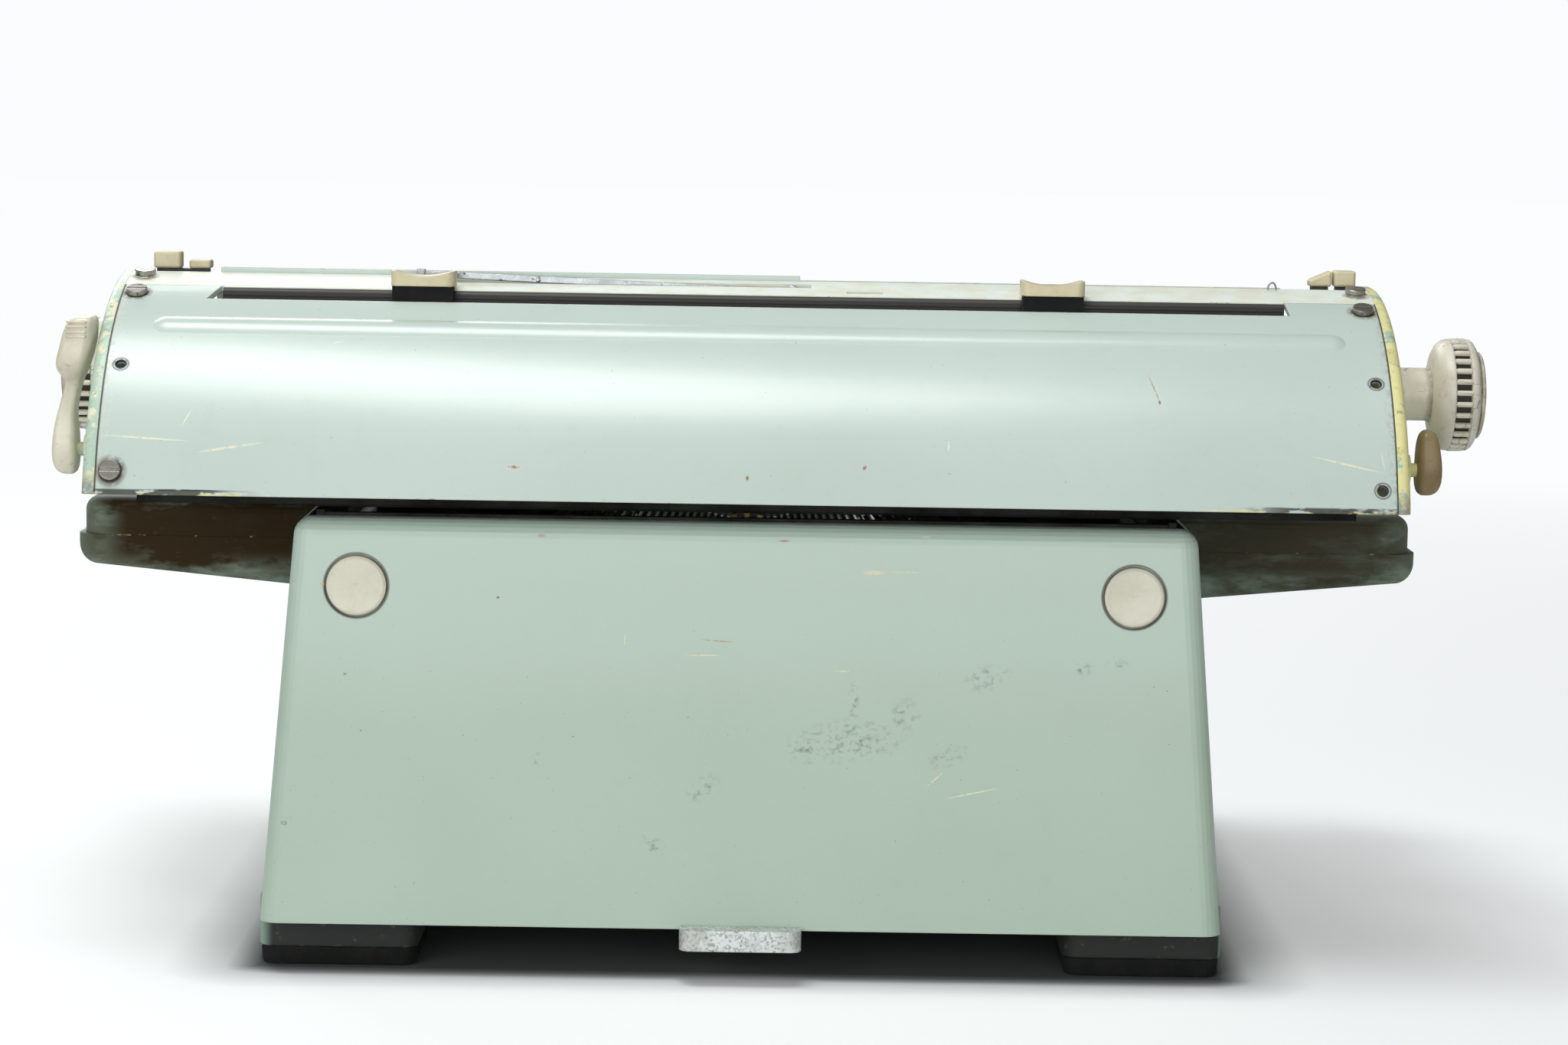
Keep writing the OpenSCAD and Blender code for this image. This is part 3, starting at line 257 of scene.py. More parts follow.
    def lay(self, colour: str, mask: Socket, amount: float = 1.0, roughness: float | None = None,
            height: float = 0.0) -> None:
        """Lays a colour over what is there.

        Args:
            colour: sRGB hex.
            mask: where it goes.
            amount: how much of it covers.
            roughness: roughness there, or None to leave it.
            height: step in millimetres, below 0 for a chip.
        """
        share = self.shared(mask, amount) if amount < 1 else mask
        self.colour = add(self.tree, "ShaderNodeMix", {0: share, 6: self.colour, 7: linear(colour)},
                          data_type="RGBA").outputs[2]
        if roughness is not None:
            self.roughness = add(self.tree, "ShaderNodeMix", {0: share, 2: self.roughness, 3: roughness}).outputs[0]
        if height:
            self.relief(mask, height)

    def relief(self, mask: Socket, height: float) -> None:
        """Raises the surface by height in millimetres where the mask is 1."""
        inputs = {0: mask, 1: height, 2: self.height}
        self.height = add(self.tree, "ShaderNodeMath", inputs, operation="MULTIPLY_ADD").outputs[0]

    def grain(self, size: float, height: float, seed: float = 0.0, stretch: Point = (1.0, 1.0, 1.0)) -> None:
        """Gives the whole surface a fine relief, such as the orange peel of sprayed enamel."""
        self.relief(self.patches(size, 0.25, 0.75, seed, 2.0, stretch), height)

    def done(self) -> bpy.types.Material:
        """Connects the layers to the shader.

        Returns:
            The finished material.
        """
        for name, value in (("Base Color", self.colour), ("Roughness", self.roughness)):
            if isinstance(value, Socket):
                self.tree.links.new(value, self.shader.inputs[name])
            else:
                self.shader.inputs[name].default_value = value
        normal = self.bevel.outputs[0] if self.bevel else None
        if isinstance(self.height, Socket):
            inputs = {"Height": self.height, "Distance": 0.001, "Strength": 1.0}
            if normal:
                inputs["Normal"] = normal
            normal = add(self.tree, "ShaderNodeBump", inputs).outputs[0]
        if normal:
            self.tree.links.new(normal, self.shader.inputs["Normal"])
        return self.material


def piece(name: str, verts: Iterable[Vector], faces: Iterable[tuple[int, ...]], sharp: float = SHARP,
          placed: bool = True) -> bpy.types.Object:
    """Makes a mesh object with its faces turned outwards.

    Args:
        name: the piece's name.
        verts: its points in millimetres, about the body's middle if it is placed, else about its own middle.
        faces: its faces as numbers of points.
        sharp: angle in degrees above which an edge is drawn sharp.
        placed: whether it stands in the machine, or is a pattern to be copied.

    Returns:
        The object, which stands at the origin.
    """
    mesh = bpy.data.meshes.new(name)
    mesh.from_pydata([metres(*v) if placed else Vector(v) / 1000 for v in verts], [], list(faces))
    work = bmesh.new()
    work.from_mesh(mesh)
    bmesh.ops.recalc_face_normals(work, faces=work.faces)
    work.to_mesh(mesh)
    work.free()
    mesh.shade_smooth()
    mesh.set_sharp_from_angle(angle=math.radians(sharp))
    return put(name, mesh)


def lofted(name: str, rings: list[list[Vector]], sharp: float = SHARP, placed: bool = True) -> bpy.types.Object:
    """Makes a closed piece through rings that all have the same number of points.

    Args:
        name: the piece's name.
        rings: the rings from one end to the other.
        sharp: angle in degrees above which an edge is drawn sharp.
        placed: whether it stands in the machine.

    Returns:
        The object.
    """
    n, last = len(rings[0]), len(rings) - 1
    faces = [(k * n + i, k * n + (i + 1) % n, (k + 1) * n + (i + 1) % n, (k + 1) * n + i)
             for k in range(last) for i in range(n)]
    faces += [tuple(range(n)), tuple(range(last * n, (last + 1) * n))]
    return piece(name, [p for ring in rings for p in ring], faces, sharp, placed)


def rounded(centre: Point, u: Point, v: Point, half_u: float, half_v: float, corner: float,
            steps: int = 5) -> list[Vector]:
    """Points of a round-cornered rectangle.

    Args:
        centre: its middle.
        u: direction of its first side.
        v: direction of its second side.
        half_u: half its size along u.
        half_v: half its size along v.
        corner: radius of its corners.
        steps: segments in each corner.

    Returns:
        The points in order.
    """
    along, across, found = Vector(u), Vector(v), []
    for quarter, (su, sv) in enumerate(((1, 1), (-1, 1), (-1, -1), (1, -1))):
        for k in range(steps + 1):
            a = math.pi / 2 * (quarter + k / steps)
            found.append(Vector(centre) + along * (su * (half_u - corner) + corner * math.cos(a))
                         + across * (sv * (half_v - corner) + corner * math.sin(a)))
    return found


def turned(name: str, axis: Axis, centre: Point, profile: list[tuple[float, float]],
           steps: int = 96) -> bpy.types.Object:
    """Turns a profile about an axis.

    Args:
        name: the piece's name.
        axis: direction of the axis.
        centre: a point on it, from which the profile counts.
        profile: distance along the axis and radius of each step, in millimetres.
        steps: segments round the axis.

    Returns:
        The closed piece.
    """
    order = {Axis.X: (0, 1, 2), Axis.Y: (1, 2, 0), Axis.Z: (2, 0, 1)}[axis]
    rings = []
    for along, radius in profile:
        ring = []
        for k in range(steps):
            a = 2 * math.pi * k / steps
            spot = [0.0, 0.0, 0.0]
            spot[order[0]], spot[order[1]], spot[order[2]] = along, radius * math.cos(a), radius * math.sin(a)
            ring.append(Vector(centre) + Vector(spot))
        rings.append(ring)
    return lofted(name, rings)


Rule = Callable[[Vector, Vector, Vector], bool]  # in millimetres about the body's middle
WELD = 1e-6  # m, reach within which a node's corners are one
FLAT = 0.6  # degrees below which neighbouring faces are one
COPY_SHARP, BEVELLED = 32.0, 40.0  # degrees above which a copied node's edges are drawn sharp, and are rounded


def whole(at: Vector, low: Vector, high: Vector) -> bool:
    """Takes every face."""
    return True


def cut_from(node: str, name: str, wanted: Rule, edge_mm: float = 0.0) -> bpy.types.Object:
    """Copies the faces of a CAD node that are wanted, and rounds their sharp edges.

    Args:
        node: the CAD node.
        name: the copy's name.
        wanted: tells from a face's middle and its solid's lowest and highest corner whether the face stays.
        edge_mm: radius of the edges, or 0 to leave them.

    Returns:
        The copy.
    """
    work = bmesh.new()
    work.from_mesh(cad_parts[node].data)
    bmesh.ops.remove_doubles(work, verts=work.verts, dist=WELD)
    middle = Vector((DATUM, 0, 0))
    left = set(work.verts)
    dropped = []
    while left:
        solid, edge = set(), [left.pop()]
        while edge:
            vert = edge.pop()
            solid.add(vert)
            near = {e.other_vert(vert) for e in vert.link_edges} & left
            left -= near
            edge += near
        places = [v.co * 1000 - middle for v in solid]
        low, high = (Vector(tuple(pick(p[i] for p in places) for i in range(3))) for pick in (min, max))
        faces = {f for v in solid for f in v.link_faces}
        dropped += [f for f in faces if not wanted(f.calc_center_median() * 1000 - middle, low, high)]
    bmesh.ops.delete(work, geom=dropped, context="FACES")
    bmesh.ops.dissolve_limit(work, angle_limit=math.radians(FLAT), verts=work.verts, edges=work.edges)
    mesh = bpy.data.meshes.new(name)
    work.to_mesh(mesh)
    work.free()
    if "custom_normal" in mesh.attributes:
        mesh.attributes.remove(mesh.attributes["custom_normal"])
    mesh.shade_smooth()
    mesh.set_sharp_from_angle(angle=math.radians(COPY_SHARP))
    made = put(name, mesh)
    if edge_mm:
        bevel = made.modifiers.new("rounded_edges", "BEVEL")
        bevel.width, bevel.segments, bevel.limit_method = edge_mm / 1000, 3, "ANGLE"
        bevel.angle_limit = math.radians(BEVELLED)
        bevel.harden_normals = True
        settle(made)
    return made


def settle(made: bpy.types.Object) -> None:
    """Turns what an object's modifiers make into its own plain mesh.

    Args:
        made: the object.
    """
    result = bpy.data.meshes.new_from_object(made.evaluated_get(bpy.context.evaluated_depsgraph_get()))
    made.modifiers.clear()
    made.data = result


def joined(name: str, parts: list[bpy.types.Object]) -> bpy.types.Object:
    """Puts several meshes into one object.

    Args:
        name: the new object's name.
        parts: the objects, which are removed.

    Returns:
        The new object.
    """
    work = bmesh.new()
    for part in parts:
        work.from_mesh(part.data)
        bpy.data.objects.remove(part)
    mesh = bpy.data.meshes.new(name)
    work.to_mesh(mesh)
    work.free()
    mesh.set_sharp_from_angle(angle=math.radians(SHARP))
    return put(name, mesh)


class Copier:
    """Geometry Nodes tree that sets copies of a small piece on points, each turned and sized by its point."""

    def __init__(self) -> None:
        """Builds the tree with its inputs: the small piece, its size and its finish."""
        self.tree = bpy.data.node_groups.new("copies_on_points", "GeometryNodeTree")
        face = self.tree.interface
        face.new_socket("Points", in_out="INPUT", socket_type="NodeSocketGeometry")
        self.keys = {name: face.new_socket(name, in_out="INPUT", socket_type=kind).identifier for name, kind in (
            ("Small Piece", "NodeSocketObject"), ("Size", "NodeSocketFloat"), ("Finish", "NodeSocketMaterial"))}
        face.new_socket("Copies", in_out="OUTPUT", socket_type="NodeSocketGeometry")
        given = add(self.tree, "NodeGroupInput")
        small = add(self.tree, "GeometryNodeObjectInfo", {"Object": given.outputs["Small Piece"], "As Instance": True})
        turn = add(self.tree, "GeometryNodeInputNamedAttribute", {"Name": "turn"}, data_type="FLOAT_VECTOR")
        size = add(self.tree, "GeometryNodeInputNamedAttribute", {"Name": "size"}, data_type="FLOAT_VECTOR")
        inputs = {0: size.outputs[0], "Scale": given.outputs["Size"]}
        sized = add(self.tree, "ShaderNodeVectorMath", inputs, operation="SCALE")
        set_out = add(self.tree, "GeometryNodeInstanceOnPoints", {
            "Points": given.outputs["Points"], "Instance": small.outputs["Geometry"],
            "Rotation": add(self.tree, "FunctionNodeEulerToRotation", {0: turn.outputs[0]}).outputs[0],
            "Scale": sized.outputs[0]})
        real = add(self.tree, "GeometryNodeRealizeInstances", {0: set_out.outputs[0]})
        inputs = {"Geometry": real.outputs[0], "Material": given.outputs["Finish"]}
        add(self.tree, "NodeGroupOutput", {0: add(self.tree, "GeometryNodeSetMaterial", inputs).outputs[0]})

    def run(self, name: str, small: bpy.types.Object, places: list["Place"], finish: bpy.types.Material,
            size: float = 1.0) -> bpy.types.Object:
        """Sets the copies out and turns them into one plain mesh.

        Args:
            name: the new piece's name.
            small: the piece that is copied, which is removed afterwards.
            places: where each copy goes.
            finish: the material of the copies.
            size: scale of all copies.

        Returns:
            The mesh with all copies.
        """
        mesh = bpy.data.meshes.new(name)
        mesh.from_pydata([metres(*p.at) for p in places], [], [])
        for key, values in (("turn", [p.turn for p in places]), ("size", [p.size for p in places])):
            data = mesh.attributes.new(key, "FLOAT_VECTOR", "POINT").data
            for item, value in zip(data, values):
                item.vector = value
        made = put(name, mesh)
        nodes = made.modifiers.new("copies", "NODES")
        nodes.node_group = self.tree
        for key, value in (("Small Piece", small), ("Size", size), ("Finish", finish)):
            nodes[self.keys[key]] = value
        settle(made)
        bpy.data.objects.remove(small)
        return made


@dataclass(frozen=True)
class Place:
    """Where a copy goes: its place in millimetres, its turn in radians and its size along each axis."""

    at: Point
    turn: Point = (0.0, 0.0, 0.0)
    size: Point = (1.0, 1.0, 1.0)


@dataclass(frozen=True)
class Mark:
    """One mark of use on a painted face: its middle, half sizes and turn, in millimetres and degrees."""

    x: float
    z: float
    half_length: float
    half_width: float
    turn: float = 0.0
    colour: str = "#e8e3bd"


@dataclass(frozen=True)
class Enamel:
    """Stoving enamel sprayed on sheet steel: semi-gloss, slightly rippled, chipped to a yellow primer at its edges."""

    name: str
    base: str
    shade: str
    roughness: float = 0.34
    edge_wear: float = 0.5
    smudges: tuple[Mark, ...] = ()
    marks: tuple[Mark, ...] = ()
    # heights in mm over which the panel is painted brighter: painted light
    painted_light_band: tuple[float, float] = (85.0, 155.0)

    def coat(self) -> Coat:
        """Builds the clean enamel with its slow changes of colour and its fine ripple.

        Returns:
            The coat, to which wear may be added.
        """
        coat = Coat(self.name, self.base, self.roughness, **{"IOR": 1.5, "Coat Weight": 0.15, "Coat Roughness": 0.25})
        coat.lay(self.shade, coat.patches(70, 0.2, 0.85, 1, 1), 0.6)
        coat.lay("#8d9a86", coat.patches(9, 0.56, 0.8, 2, 6), 0.08)
        coat.grain(1.6, 0.006)
        coat.lay("#5b5a4a", coat.patches(1.3, 0.735, 0.76, 3, 2), 0.6, 0.6)
        return coat

    def wear(self, coat: Coat) -> None:
        """Chips the edges and adds the marks that the photograph shows.

        A panel with smudges also gets painted light towards its top, which stands in for lamp light, and painted shade
        round its plugs.

        Args:
            coat: the coat that gets the wear.
        """
        worn = self.edge_wear
        if worn:
            for size, level, seed, colour, amount, roughness in (
                    (5, 0.62 - 0.16 * worn, 5, "#d9d59c", 0.85, 0.55), (7, 0.7 - 0.1 * worn, 6, "#4a4438", 0.9, 0.5)):
                chips = coat.shared(coat.edges(), coat.patches(size, level, level + 0.04, seed, 6))
                coat.lay(colour, chips, amount, roughness, -0.03)
        if self.smudges:
            # painted light: brighter towards the top, standing in for lamp light on the panel's upper part
            coat.lay("#c9dacd", coat.band(Axis.Z, *self.painted_light_band), 0.7)
            spots = [coat.spot((m.x, PANEL_Y, m.z), (m.half_length, 40.0, m.half_width), m.turn, 0.1)
                     for m in self.smudges]
            streaks = coat.patches(2.6, 0.5, 0.68, 8, 7, (1.0, 1.0, 0.8))
            coat.lay("#4c554c", coat.shared(coat.blend("MAXIMUM", *spots), streaks), 0.82, 0.6)
            # painted shade: a dark disc round each plug stands for the shade in the gap where it meets the panel
            for place in PLUG_PLACES:
                coat.lay("#4f544b", coat.spot(place, (12.0, 40.0, 12.0), 0.0, 0.965), 0.75, 0.6)
        for mark in self.marks:
            spot = coat.spot((mark.x, PANEL_Y, mark.z), (mark.half_length, 60.0, mark.half_width), mark.turn, 0.5)
            ragged = coat.shared(spot, coat.patches(1.4, 0.36, 0.5, mark.x, 3))
            coat.lay(mark.colour, ragged, 0.9, 0.6, -0.02)

    def material(self) -> bpy.types.Material:
        """Builds the worn enamel.

        Returns:
            The material.
        """
        coat = self.coat()
        self.wear(coat)
        return coat.done()


@dataclass(frozen=True)
class CoverEnamel(Enamel):
    """The rear cover's enamel, with the grime round its screws, bright rings and painted shade in its holes, and its
    chipped ends.
    """

    screws: tuple[Point, ...] = ((221.1, 186.7, 179.0), (221.1, 129.4, 238.0), (-221.1, 129.4, 238.0),
                                 (221.1, 113.0, 243.7), (-221.1, 113.0, 243.7))
    holes: tuple[Point, ...] = ((221.1, 164.2, 214.6), (-221.1, 164.2, 214.6), (-221.1, 186.7, 179.0))
    half: float = 226.5

    def stain(self, coat: Coat, place: Point, radius: float, colour: str, amount: float) -> None:
        """Lays the ragged stain round a screw.

        Args:
            coat: the coat that gets it.
            place: the screw.
            radius: how far the stain reaches, in millimetres.
            colour: sRGB hex.
            amount: how much of it covers.
        """
        ragged = coat.shared(coat.dot(place, radius, 0.62), coat.patches(2.6, 0.34, 0.5, place[0], 5))
        coat.lay(colour, ragged, amount, 0.7)

    def material(self) -> bpy.types.Material:
        """Builds the enamel and lays the marks of its fastenings and ends on it.

        Returns:
            The material.
        """
        coat = self.coat()
        self.wear(coat)
        for side in (1, -1):
            end = coat.band(Axis.X, side * (self.half - 4.5), side * self.half)
            silver = coat.shared(end, coat.patches(1.5, 0.5, 0.56, 12 + side, 4))
            coat.lay("#c9c6b4" if side > 0 else "#a9aaa4", silver, 0.8, 0.45, -0.03)
            seam = coat.band(Axis.X, side * (self.half - 0.9), side * (self.half - 0.3))
            coat.lay("#33322b", coat.shared(seam, coat.patches(3, 0.12, 0.3, 14 + side, 4)), 0.94, 0.7)
            foot = coat.shared(coat.band(Axis.X, side * 150, side * 175), coat.band(Axis.Z, 172.0, 171.5),
                               coat.patches(5, 0.44, 0.5, 16 + side, 5))
            coat.lay("#d9d29a", foot, 0.9, 0.6, -0.02)
            dark = coat.shared(coat.band(Axis.X, side * 165, side * 190), coat.band(Axis.Z, 173.2, 172.6),
                               coat.patches(6, 0.46, 0.52, 18 + side, 6, (2.5, 1.0, 0.6)))
            coat.lay("#23261f", dark, 0.9, 0.6)
        for place in self.holes:
            coat.lay("#3a3b33", coat.dot(place, 3.3, 0.85), 0.85, 0.6)
            bright = coat.shared(coat.dot(place, 2.8, 0.85), coat.patches(1.6, 0.34, 0.5, place[2], 3))
            coat.lay("#c3c5c0", bright, 0.85, 0.3)
            # painted shade: a near-black disc stands for the shade inside each hole
            coat.lay("#12120f", coat.dot(place, 2.3, 0.85), 0.96, 0.7)
        for place in self.screws:
            self.stain(coat, place, 6.4, "#54422f", 0.85)
            coat.lay("#2b2119", coat.dot(place, 4.5, 0.86), 0.9, 0.7)
        return coat.done()


@dataclass(frozen=True)
class StripEnamel(CoverEnamel):
    """Enamel of the strip before the slot: rubbed thin to mottled cream, oily brown where the margin stops run, with
    painted shade where its rolled edge turns down into the slot.
    """

    def material(self) -> bpy.types.Material:
        """Builds the rubbed enamel with its oily rail and the painted shade below it.

        Returns:
            The material.
        """
        coat = self.coat()
        coat.lay("#dcdabf", coat.patches(7, 0.42, 0.6, 5, 7, (1.6, 1.0, 1.0)), 0.7, 0.45)
        coat.lay("#eceadb", coat.patches(3.4, 0.55, 0.66, 6, 6), 0.6, 0.4)
        self.wear(coat)
        rail = coat.shared(coat.band(Axis.Y, 123.4, 123.9), coat.band(Axis.Z, 242.6, 241.2))
        oily = coat.shared(rail, coat.patches(8, 0.05, 0.3, 21, 6, (3.0, 1.0, 1.0)))
        coat.lay("#2a2417", oily, 0.96, 0.6)
        # painted shade: near black where the rolled edge turns down into the slot
        coat.lay("#15120c", coat.shared(rail, coat.band(Axis.Z, 241, 238)), 0.94, 0.6)
        for place in self.screws[3:]:
            self.stain(coat, place, 5.8, "#5d4a34", 0.8)
        return coat.done()


@dataclass(frozen=True)
class GrimeAndShadowEnamel(Enamel):
    """The deck's enamel: dark sage, with brown-black at the back that is oil grime and painted shadow of the carriage,
    cleaner further out.
    """

    def material(self) -> bpy.types.Material:
        """Builds the enamel and lays the grime and painted shadow over the rear edge.

        Returns:
            The material.
        """
        coat = self.coat()
        coat.shader.inputs["Specular IOR Level"].default_value = 0.12
        coat.shader.inputs["Coat Weight"].default_value = 0.0
        back = coat.band(Axis.Y, 52, 68)
        core = coat.shared(coat.band(Axis.X, 248, 234), coat.band(Axis.X, -249, -236), coat.band(Axis.Z, 129, 138),
                           coat.band(Axis.Z, 156.5, 154.0), coat.patches(30, 0.2, 0.42, 13, 6, (2.0, 1.0, 0.7)))
        wide = coat.shared(coat.band(Axis.X, 256, 240), coat.band(Axis.X, -256, -240), coat.band(Axis.Z, 124, 130),
                           coat.band(Axis.Z, 157.5, 155.5), coat.patches(18, 0.4, 0.56, 9, 7, (2.0, 1.0, 0.7)))
        rag = coat.patches(16, 0.3, 0.5, 4, 7, (2.2, 1.0, 0.7))
        coat.lay("#4d4632", coat.shared(back, rag), 0.7, 0.7)
        grime_and_shadow = coat.blend("MAXIMUM", core, wide)
        thinner = coat.blend("MAXIMUM", coat.band(Axis.X, -170, -120), 0.74)
        # painted shadow and grime: the brown-black band under the carriage stands for its shadow as well as oil grime
        coat.lay("#33230f", coat.shared(back, grime_and_shadow, thinner), 0.97, 0.75)
        coat.lay("#6b5234", coat.shared(back, coat.patches(5, 0.62, 0.7, 11, 6)), 0.25, 0.7)
        self.wear(coat)
        return coat.done()


@dataclass(frozen=True)
class FlakedCap:
    """Cast end cap whose enamel has flaked to yellow primer, and at its foot to bare grey metal."""

    name: str
    green: str
    primer: str
    flaked: float

    def material(self) -> bpy.types.Material:
        """Builds the cap's finish: primer under what is left of the enamel.

        Returns:
            The material.
        """
        coat = Coat(self.name, self.primer, 0.5, **{"IOR": 1.5})
        coat.lay("#c7c184", coat.patches(8, 0.5, 0.6, 2, 6), 0.45, 0.6)
        level = 0.34 + 0.26 * self.flaked
        coat.lay(self.green, coat.patches(11, level, level + 0.03, 3, 8), 1.0, 0.36, 0.05)
        coat.lay("#5d6657", coat.patches(4, 0.6, 0.66, 4, 7), 0.5, 0.6)
        foot = coat.shared(coat.band(Axis.Z, 180, 172), coat.patches(6, 0.4, 0.5, 7, 5))
        coat.lay("#8b8b86", foot, 0.9, 0.4)
        coat.grain(1.6, 0.008)
        return coat.done()


@dataclass(frozen=True)
class ShadedFootEnamel(Enamel):
    """Enamel of the foot brackets, painted near black as shade where they reach under the body, green at their outer
    ends.
    """

    def material(self) -> bpy.types.Material:
        """Builds the enamel and lays the painted shade, with brown dirt specks, over all but its ends.

        Returns:
            The material.
        """
        coat = self.coat()
        inner = coat.shared(coat.band(Axis.X, 172, 167), coat.band(Axis.X, -172.4, -171))
        rag = coat.patches(9, 0.08, 0.3, 4, 6, (1.6, 1.0, 1.0))
        # painted shade: near black on all of the bracket that lies under the body, leaving only the outer ends green
        coat.lay("#12130f", coat.shared(inner, rag), 0.97, 0.75)
        coat.lay("#6b5a3e", coat.shared(inner, coat.patches(4, 0.6, 0.68, 7, 6)), 0.5, 0.7)
        self.wear(coat)
        return coat.done()


@dataclass(frozen=True)
class Ink:
    """Black filling ink of the key legends and scale marks: matt and slightly worn."""

    name: str

    def material(self) -> bpy.types.Material:
        """Builds the ink.

        Returns:
            The material.
        """
        coat = Coat(self.name, "#1c1b19", 0.6, 0.0)
        coat.lay("#5b564b", coat.patches(1.6, 0.6, 0.72, 2, 4), 0.7, 0.7)
        return coat.done()


@dataclass(frozen=True)
class Plastic:
    """Compression-moulded plastic gone cream with age: soft gloss, dirt in its pores and along its corners."""

    name: str
    base: str
    dirt: str = "#8e7a55"
    roughness: float = 0.36
    dirt_share: float = 0.35
    cracks: bool = False

    def coat(self) -> Coat:
        """Builds the aged plastic's layers.

        Returns:
            The coat, to which more dirt may be added.
        """
        coat = Coat(self.name, self.base, self.roughness,
                    **{"IOR": 1.49, "Subsurface Weight": 0.05, "Subsurface Scale": 0.002})
        coat.lay(self.dirt, coat.patches(14, 0.46, 0.72, 1, 6), self.dirt_share, 0.5)
        coat.lay(self.dirt, coat.patches(2.2, 0.6, 0.72, 2, 5), self.dirt_share, 0.55)
        coat.lay("#5a4a34", coat.shared(coat.edges(0.04, 0.3), coat.patches(5, 0.5, 0.62, 3, 5)),
                 self.dirt_share, 0.6)
        if self.cracks:
            place = coat.math("MULTIPLY", coat.mm, (0.09, 0.14, 0.14))
            cell = add(coat.tree, "ShaderNodeTexVoronoi", {"Vector": place, "Scale": 1.0}, feature="DISTANCE_TO_EDGE")
            inputs = {0: cell.outputs[0], 1: 0.0, 2: 0.018, 3: 1.0, 4: 0.0}
            line = add(coat.tree, "ShaderNodeMapRange", inputs).outputs[0]
            coat.lay("#4d3d28", coat.shared(line, coat.patches(16, 0.5, 0.56, 8, 2)), 0.7, 0.6, -0.04)
        coat.grain(1.2, 0.004)
        return coat

    def material(self) -> bpy.types.Material:
        """Builds the aged plastic."""
        return self.coat().done()


@dataclass(frozen=True)
class KnobPlastic(Plastic):
    """The knobs' plastic, with painted shade in the pockets between its ribs, and dirty where it meets its neck.

    Its bands are distances from the knob's face, in millimetres.
    """

    pocket_r: float = 20.7
    pocket_back: tuple[float, float] = (13.75, 13.45)
    pocket_front: tuple[float, float] = (8.05, 8.35)
    neck_r: float = 11.4
    neck: tuple[float, float] = (24.0, 21.5)
    rim: tuple[float, float] = (6.2, 3.6)

    def material(self) -> bpy.types.Material:
        """Builds the aged plastic with the painted shade in its pockets.

        Returns:
            The material.
        """
        coat = self.coat()
        for face in KNOB_FACES:
            s = math.copysign(1.0, face)
            back, front, neck, rim = (coat.band(Axis.X, *(face - s * d for d in pair)) for pair in (
                self.pocket_back, self.pocket_front, self.neck, self.rim))
            pocket_shade = coat.spot((0.0, *PLATEN), (1000.0, self.pocket_r, self.pocket_r), 0.0, 0.98)
            # painted shade: dark brown in the sunk pockets between the ribs
            coat.lay("#21170c", coat.shared(pocket_shade, back, front), 0.96, 0.8)
            beside = coat.spot((0.0, *PLATEN), (1000.0, self.neck_r, self.neck_r), 0.0, 0.9)
            coat.lay("#6a5637", coat.shared(beside, neck, coat.patches(3, 0.34, 0.5, 6, 5)), 0.6, 0.6)
            coat.lay("#9b8f70", coat.shared(rim, coat.patches(5, 0.3, 0.55, 9, 5)), 0.6, 0.5)
        return coat.done()


@dataclass(frozen=True)
class Metal:
    """A bare or plated metal: its lie of grain, its dull film and its rust."""

    name: str
    base: str
    roughness: float
    film: str = "#4c4a45"
    film_share: float = 0.35
    rust: float = 0.0
    brushed: Point = (1.0, 1.0, 1.0)

    def material(self) -> bpy.types.Material:
        """Builds the metal.

        Returns:
            The material.
        """
        coat = Coat(self.name, self.base, self.roughness, **{"Metallic": 1.0})
        coat.lay(self.film, coat.patches(18, 0.42, 0.7, 1, 6), self.film_share, min(1.0, self.roughness + 0.2))
        coat.lay(self.film, coat.patches(0.7, 0.45, 0.65, 2, 2, self.brushed), 0.3 * self.film_share + 0.05)
        if self.rust:
            coat.lay("#5a3a20", coat.patches(4, 0.66 - 0.2 * self.rust, 0.72 - 0.2 * self.rust, 5, 7), 0.8, 0.8, 0.01)
        coat.grain(0.7, 0.003, 4, self.brushed)
        return coat.done()


@dataclass(frozen=True)
class BlackEnamel:
    """Japanned steel: near black, half dull, with dust that shows grey."""

    name: str
    base: str = "#1b1c1b"
    roughness: float = 0.42

    def material(self) -> bpy.types.Material:
        """Builds the black enamel.

        Returns:
            The material.
        """
        coat = Coat(self.name, self.base, self.roughness, **{"IOR": 1.5})
        coat.lay("#4a4740", coat.patches(22, 0.45, 0.75, 1, 6), 0.4, 0.7)
        coat.lay("#6b665b", coat.patches(1.1, 0.6, 0.7, 2, 3), 0.35, 0.8)
        coat.lay("#8a8880", coat.shared(coat.edges(), coat.patches(6, 0.5, 0.56, 3, 5)), 0.6, 0.4)
        coat.grain(1.0, 0.006)
        return coat.done()


@dataclass(frozen=True)
class Rubber:
    """Moulded natural rubber: matt black, greyed where it rubs."""

    name: str
    base: str = "#151515"

    def material(self) -> bpy.types.Material:
        """Builds the rubber.

        Returns:
            The material.
        """
        coat = Coat(self.name, self.base, 0.8, **{"IOR": 1.52, "Specular IOR Level": 0.2})
        coat.lay("#262523", coat.patches(12, 0.45, 0.7, 1, 6), 0.6, 0.85)
        coat.lay("#55534c", coat.shared(coat.edges(), coat.patches(4, 0.46, 0.6, 2, 5)), 0.6, 0.85)
        coat.grain(0.8, 0.012)
        return coat.done()


@dataclass(frozen=True)
class SilverPaint:
    """Aluminium paint brushed over pressed steel: bright flakes with dark specks of grime between them."""

    name: str

    def material(self) -> bpy.types.Material:
        """Builds the speckled silver paint.

        Returns:
            The material.
        """
        coat = Coat(self.name, "#e0e3e1", 0.42, **{"Metallic": 0.5})
        coat.lay("#7f8280", coat.patches(1.2, 0.5, 0.62, 1, 4), 0.7, 0.6)
        coat.lay("#3d3a34", coat.patches(2.0, 0.62, 0.68, 2, 6), 0.75, 0.7)
        coat.lay("#a8a89c", coat.patches(9, 0.45, 0.6, 3, 5), 0.5, 0.55)
        coat.grain(0.9, 0.02)
        return coat.done()


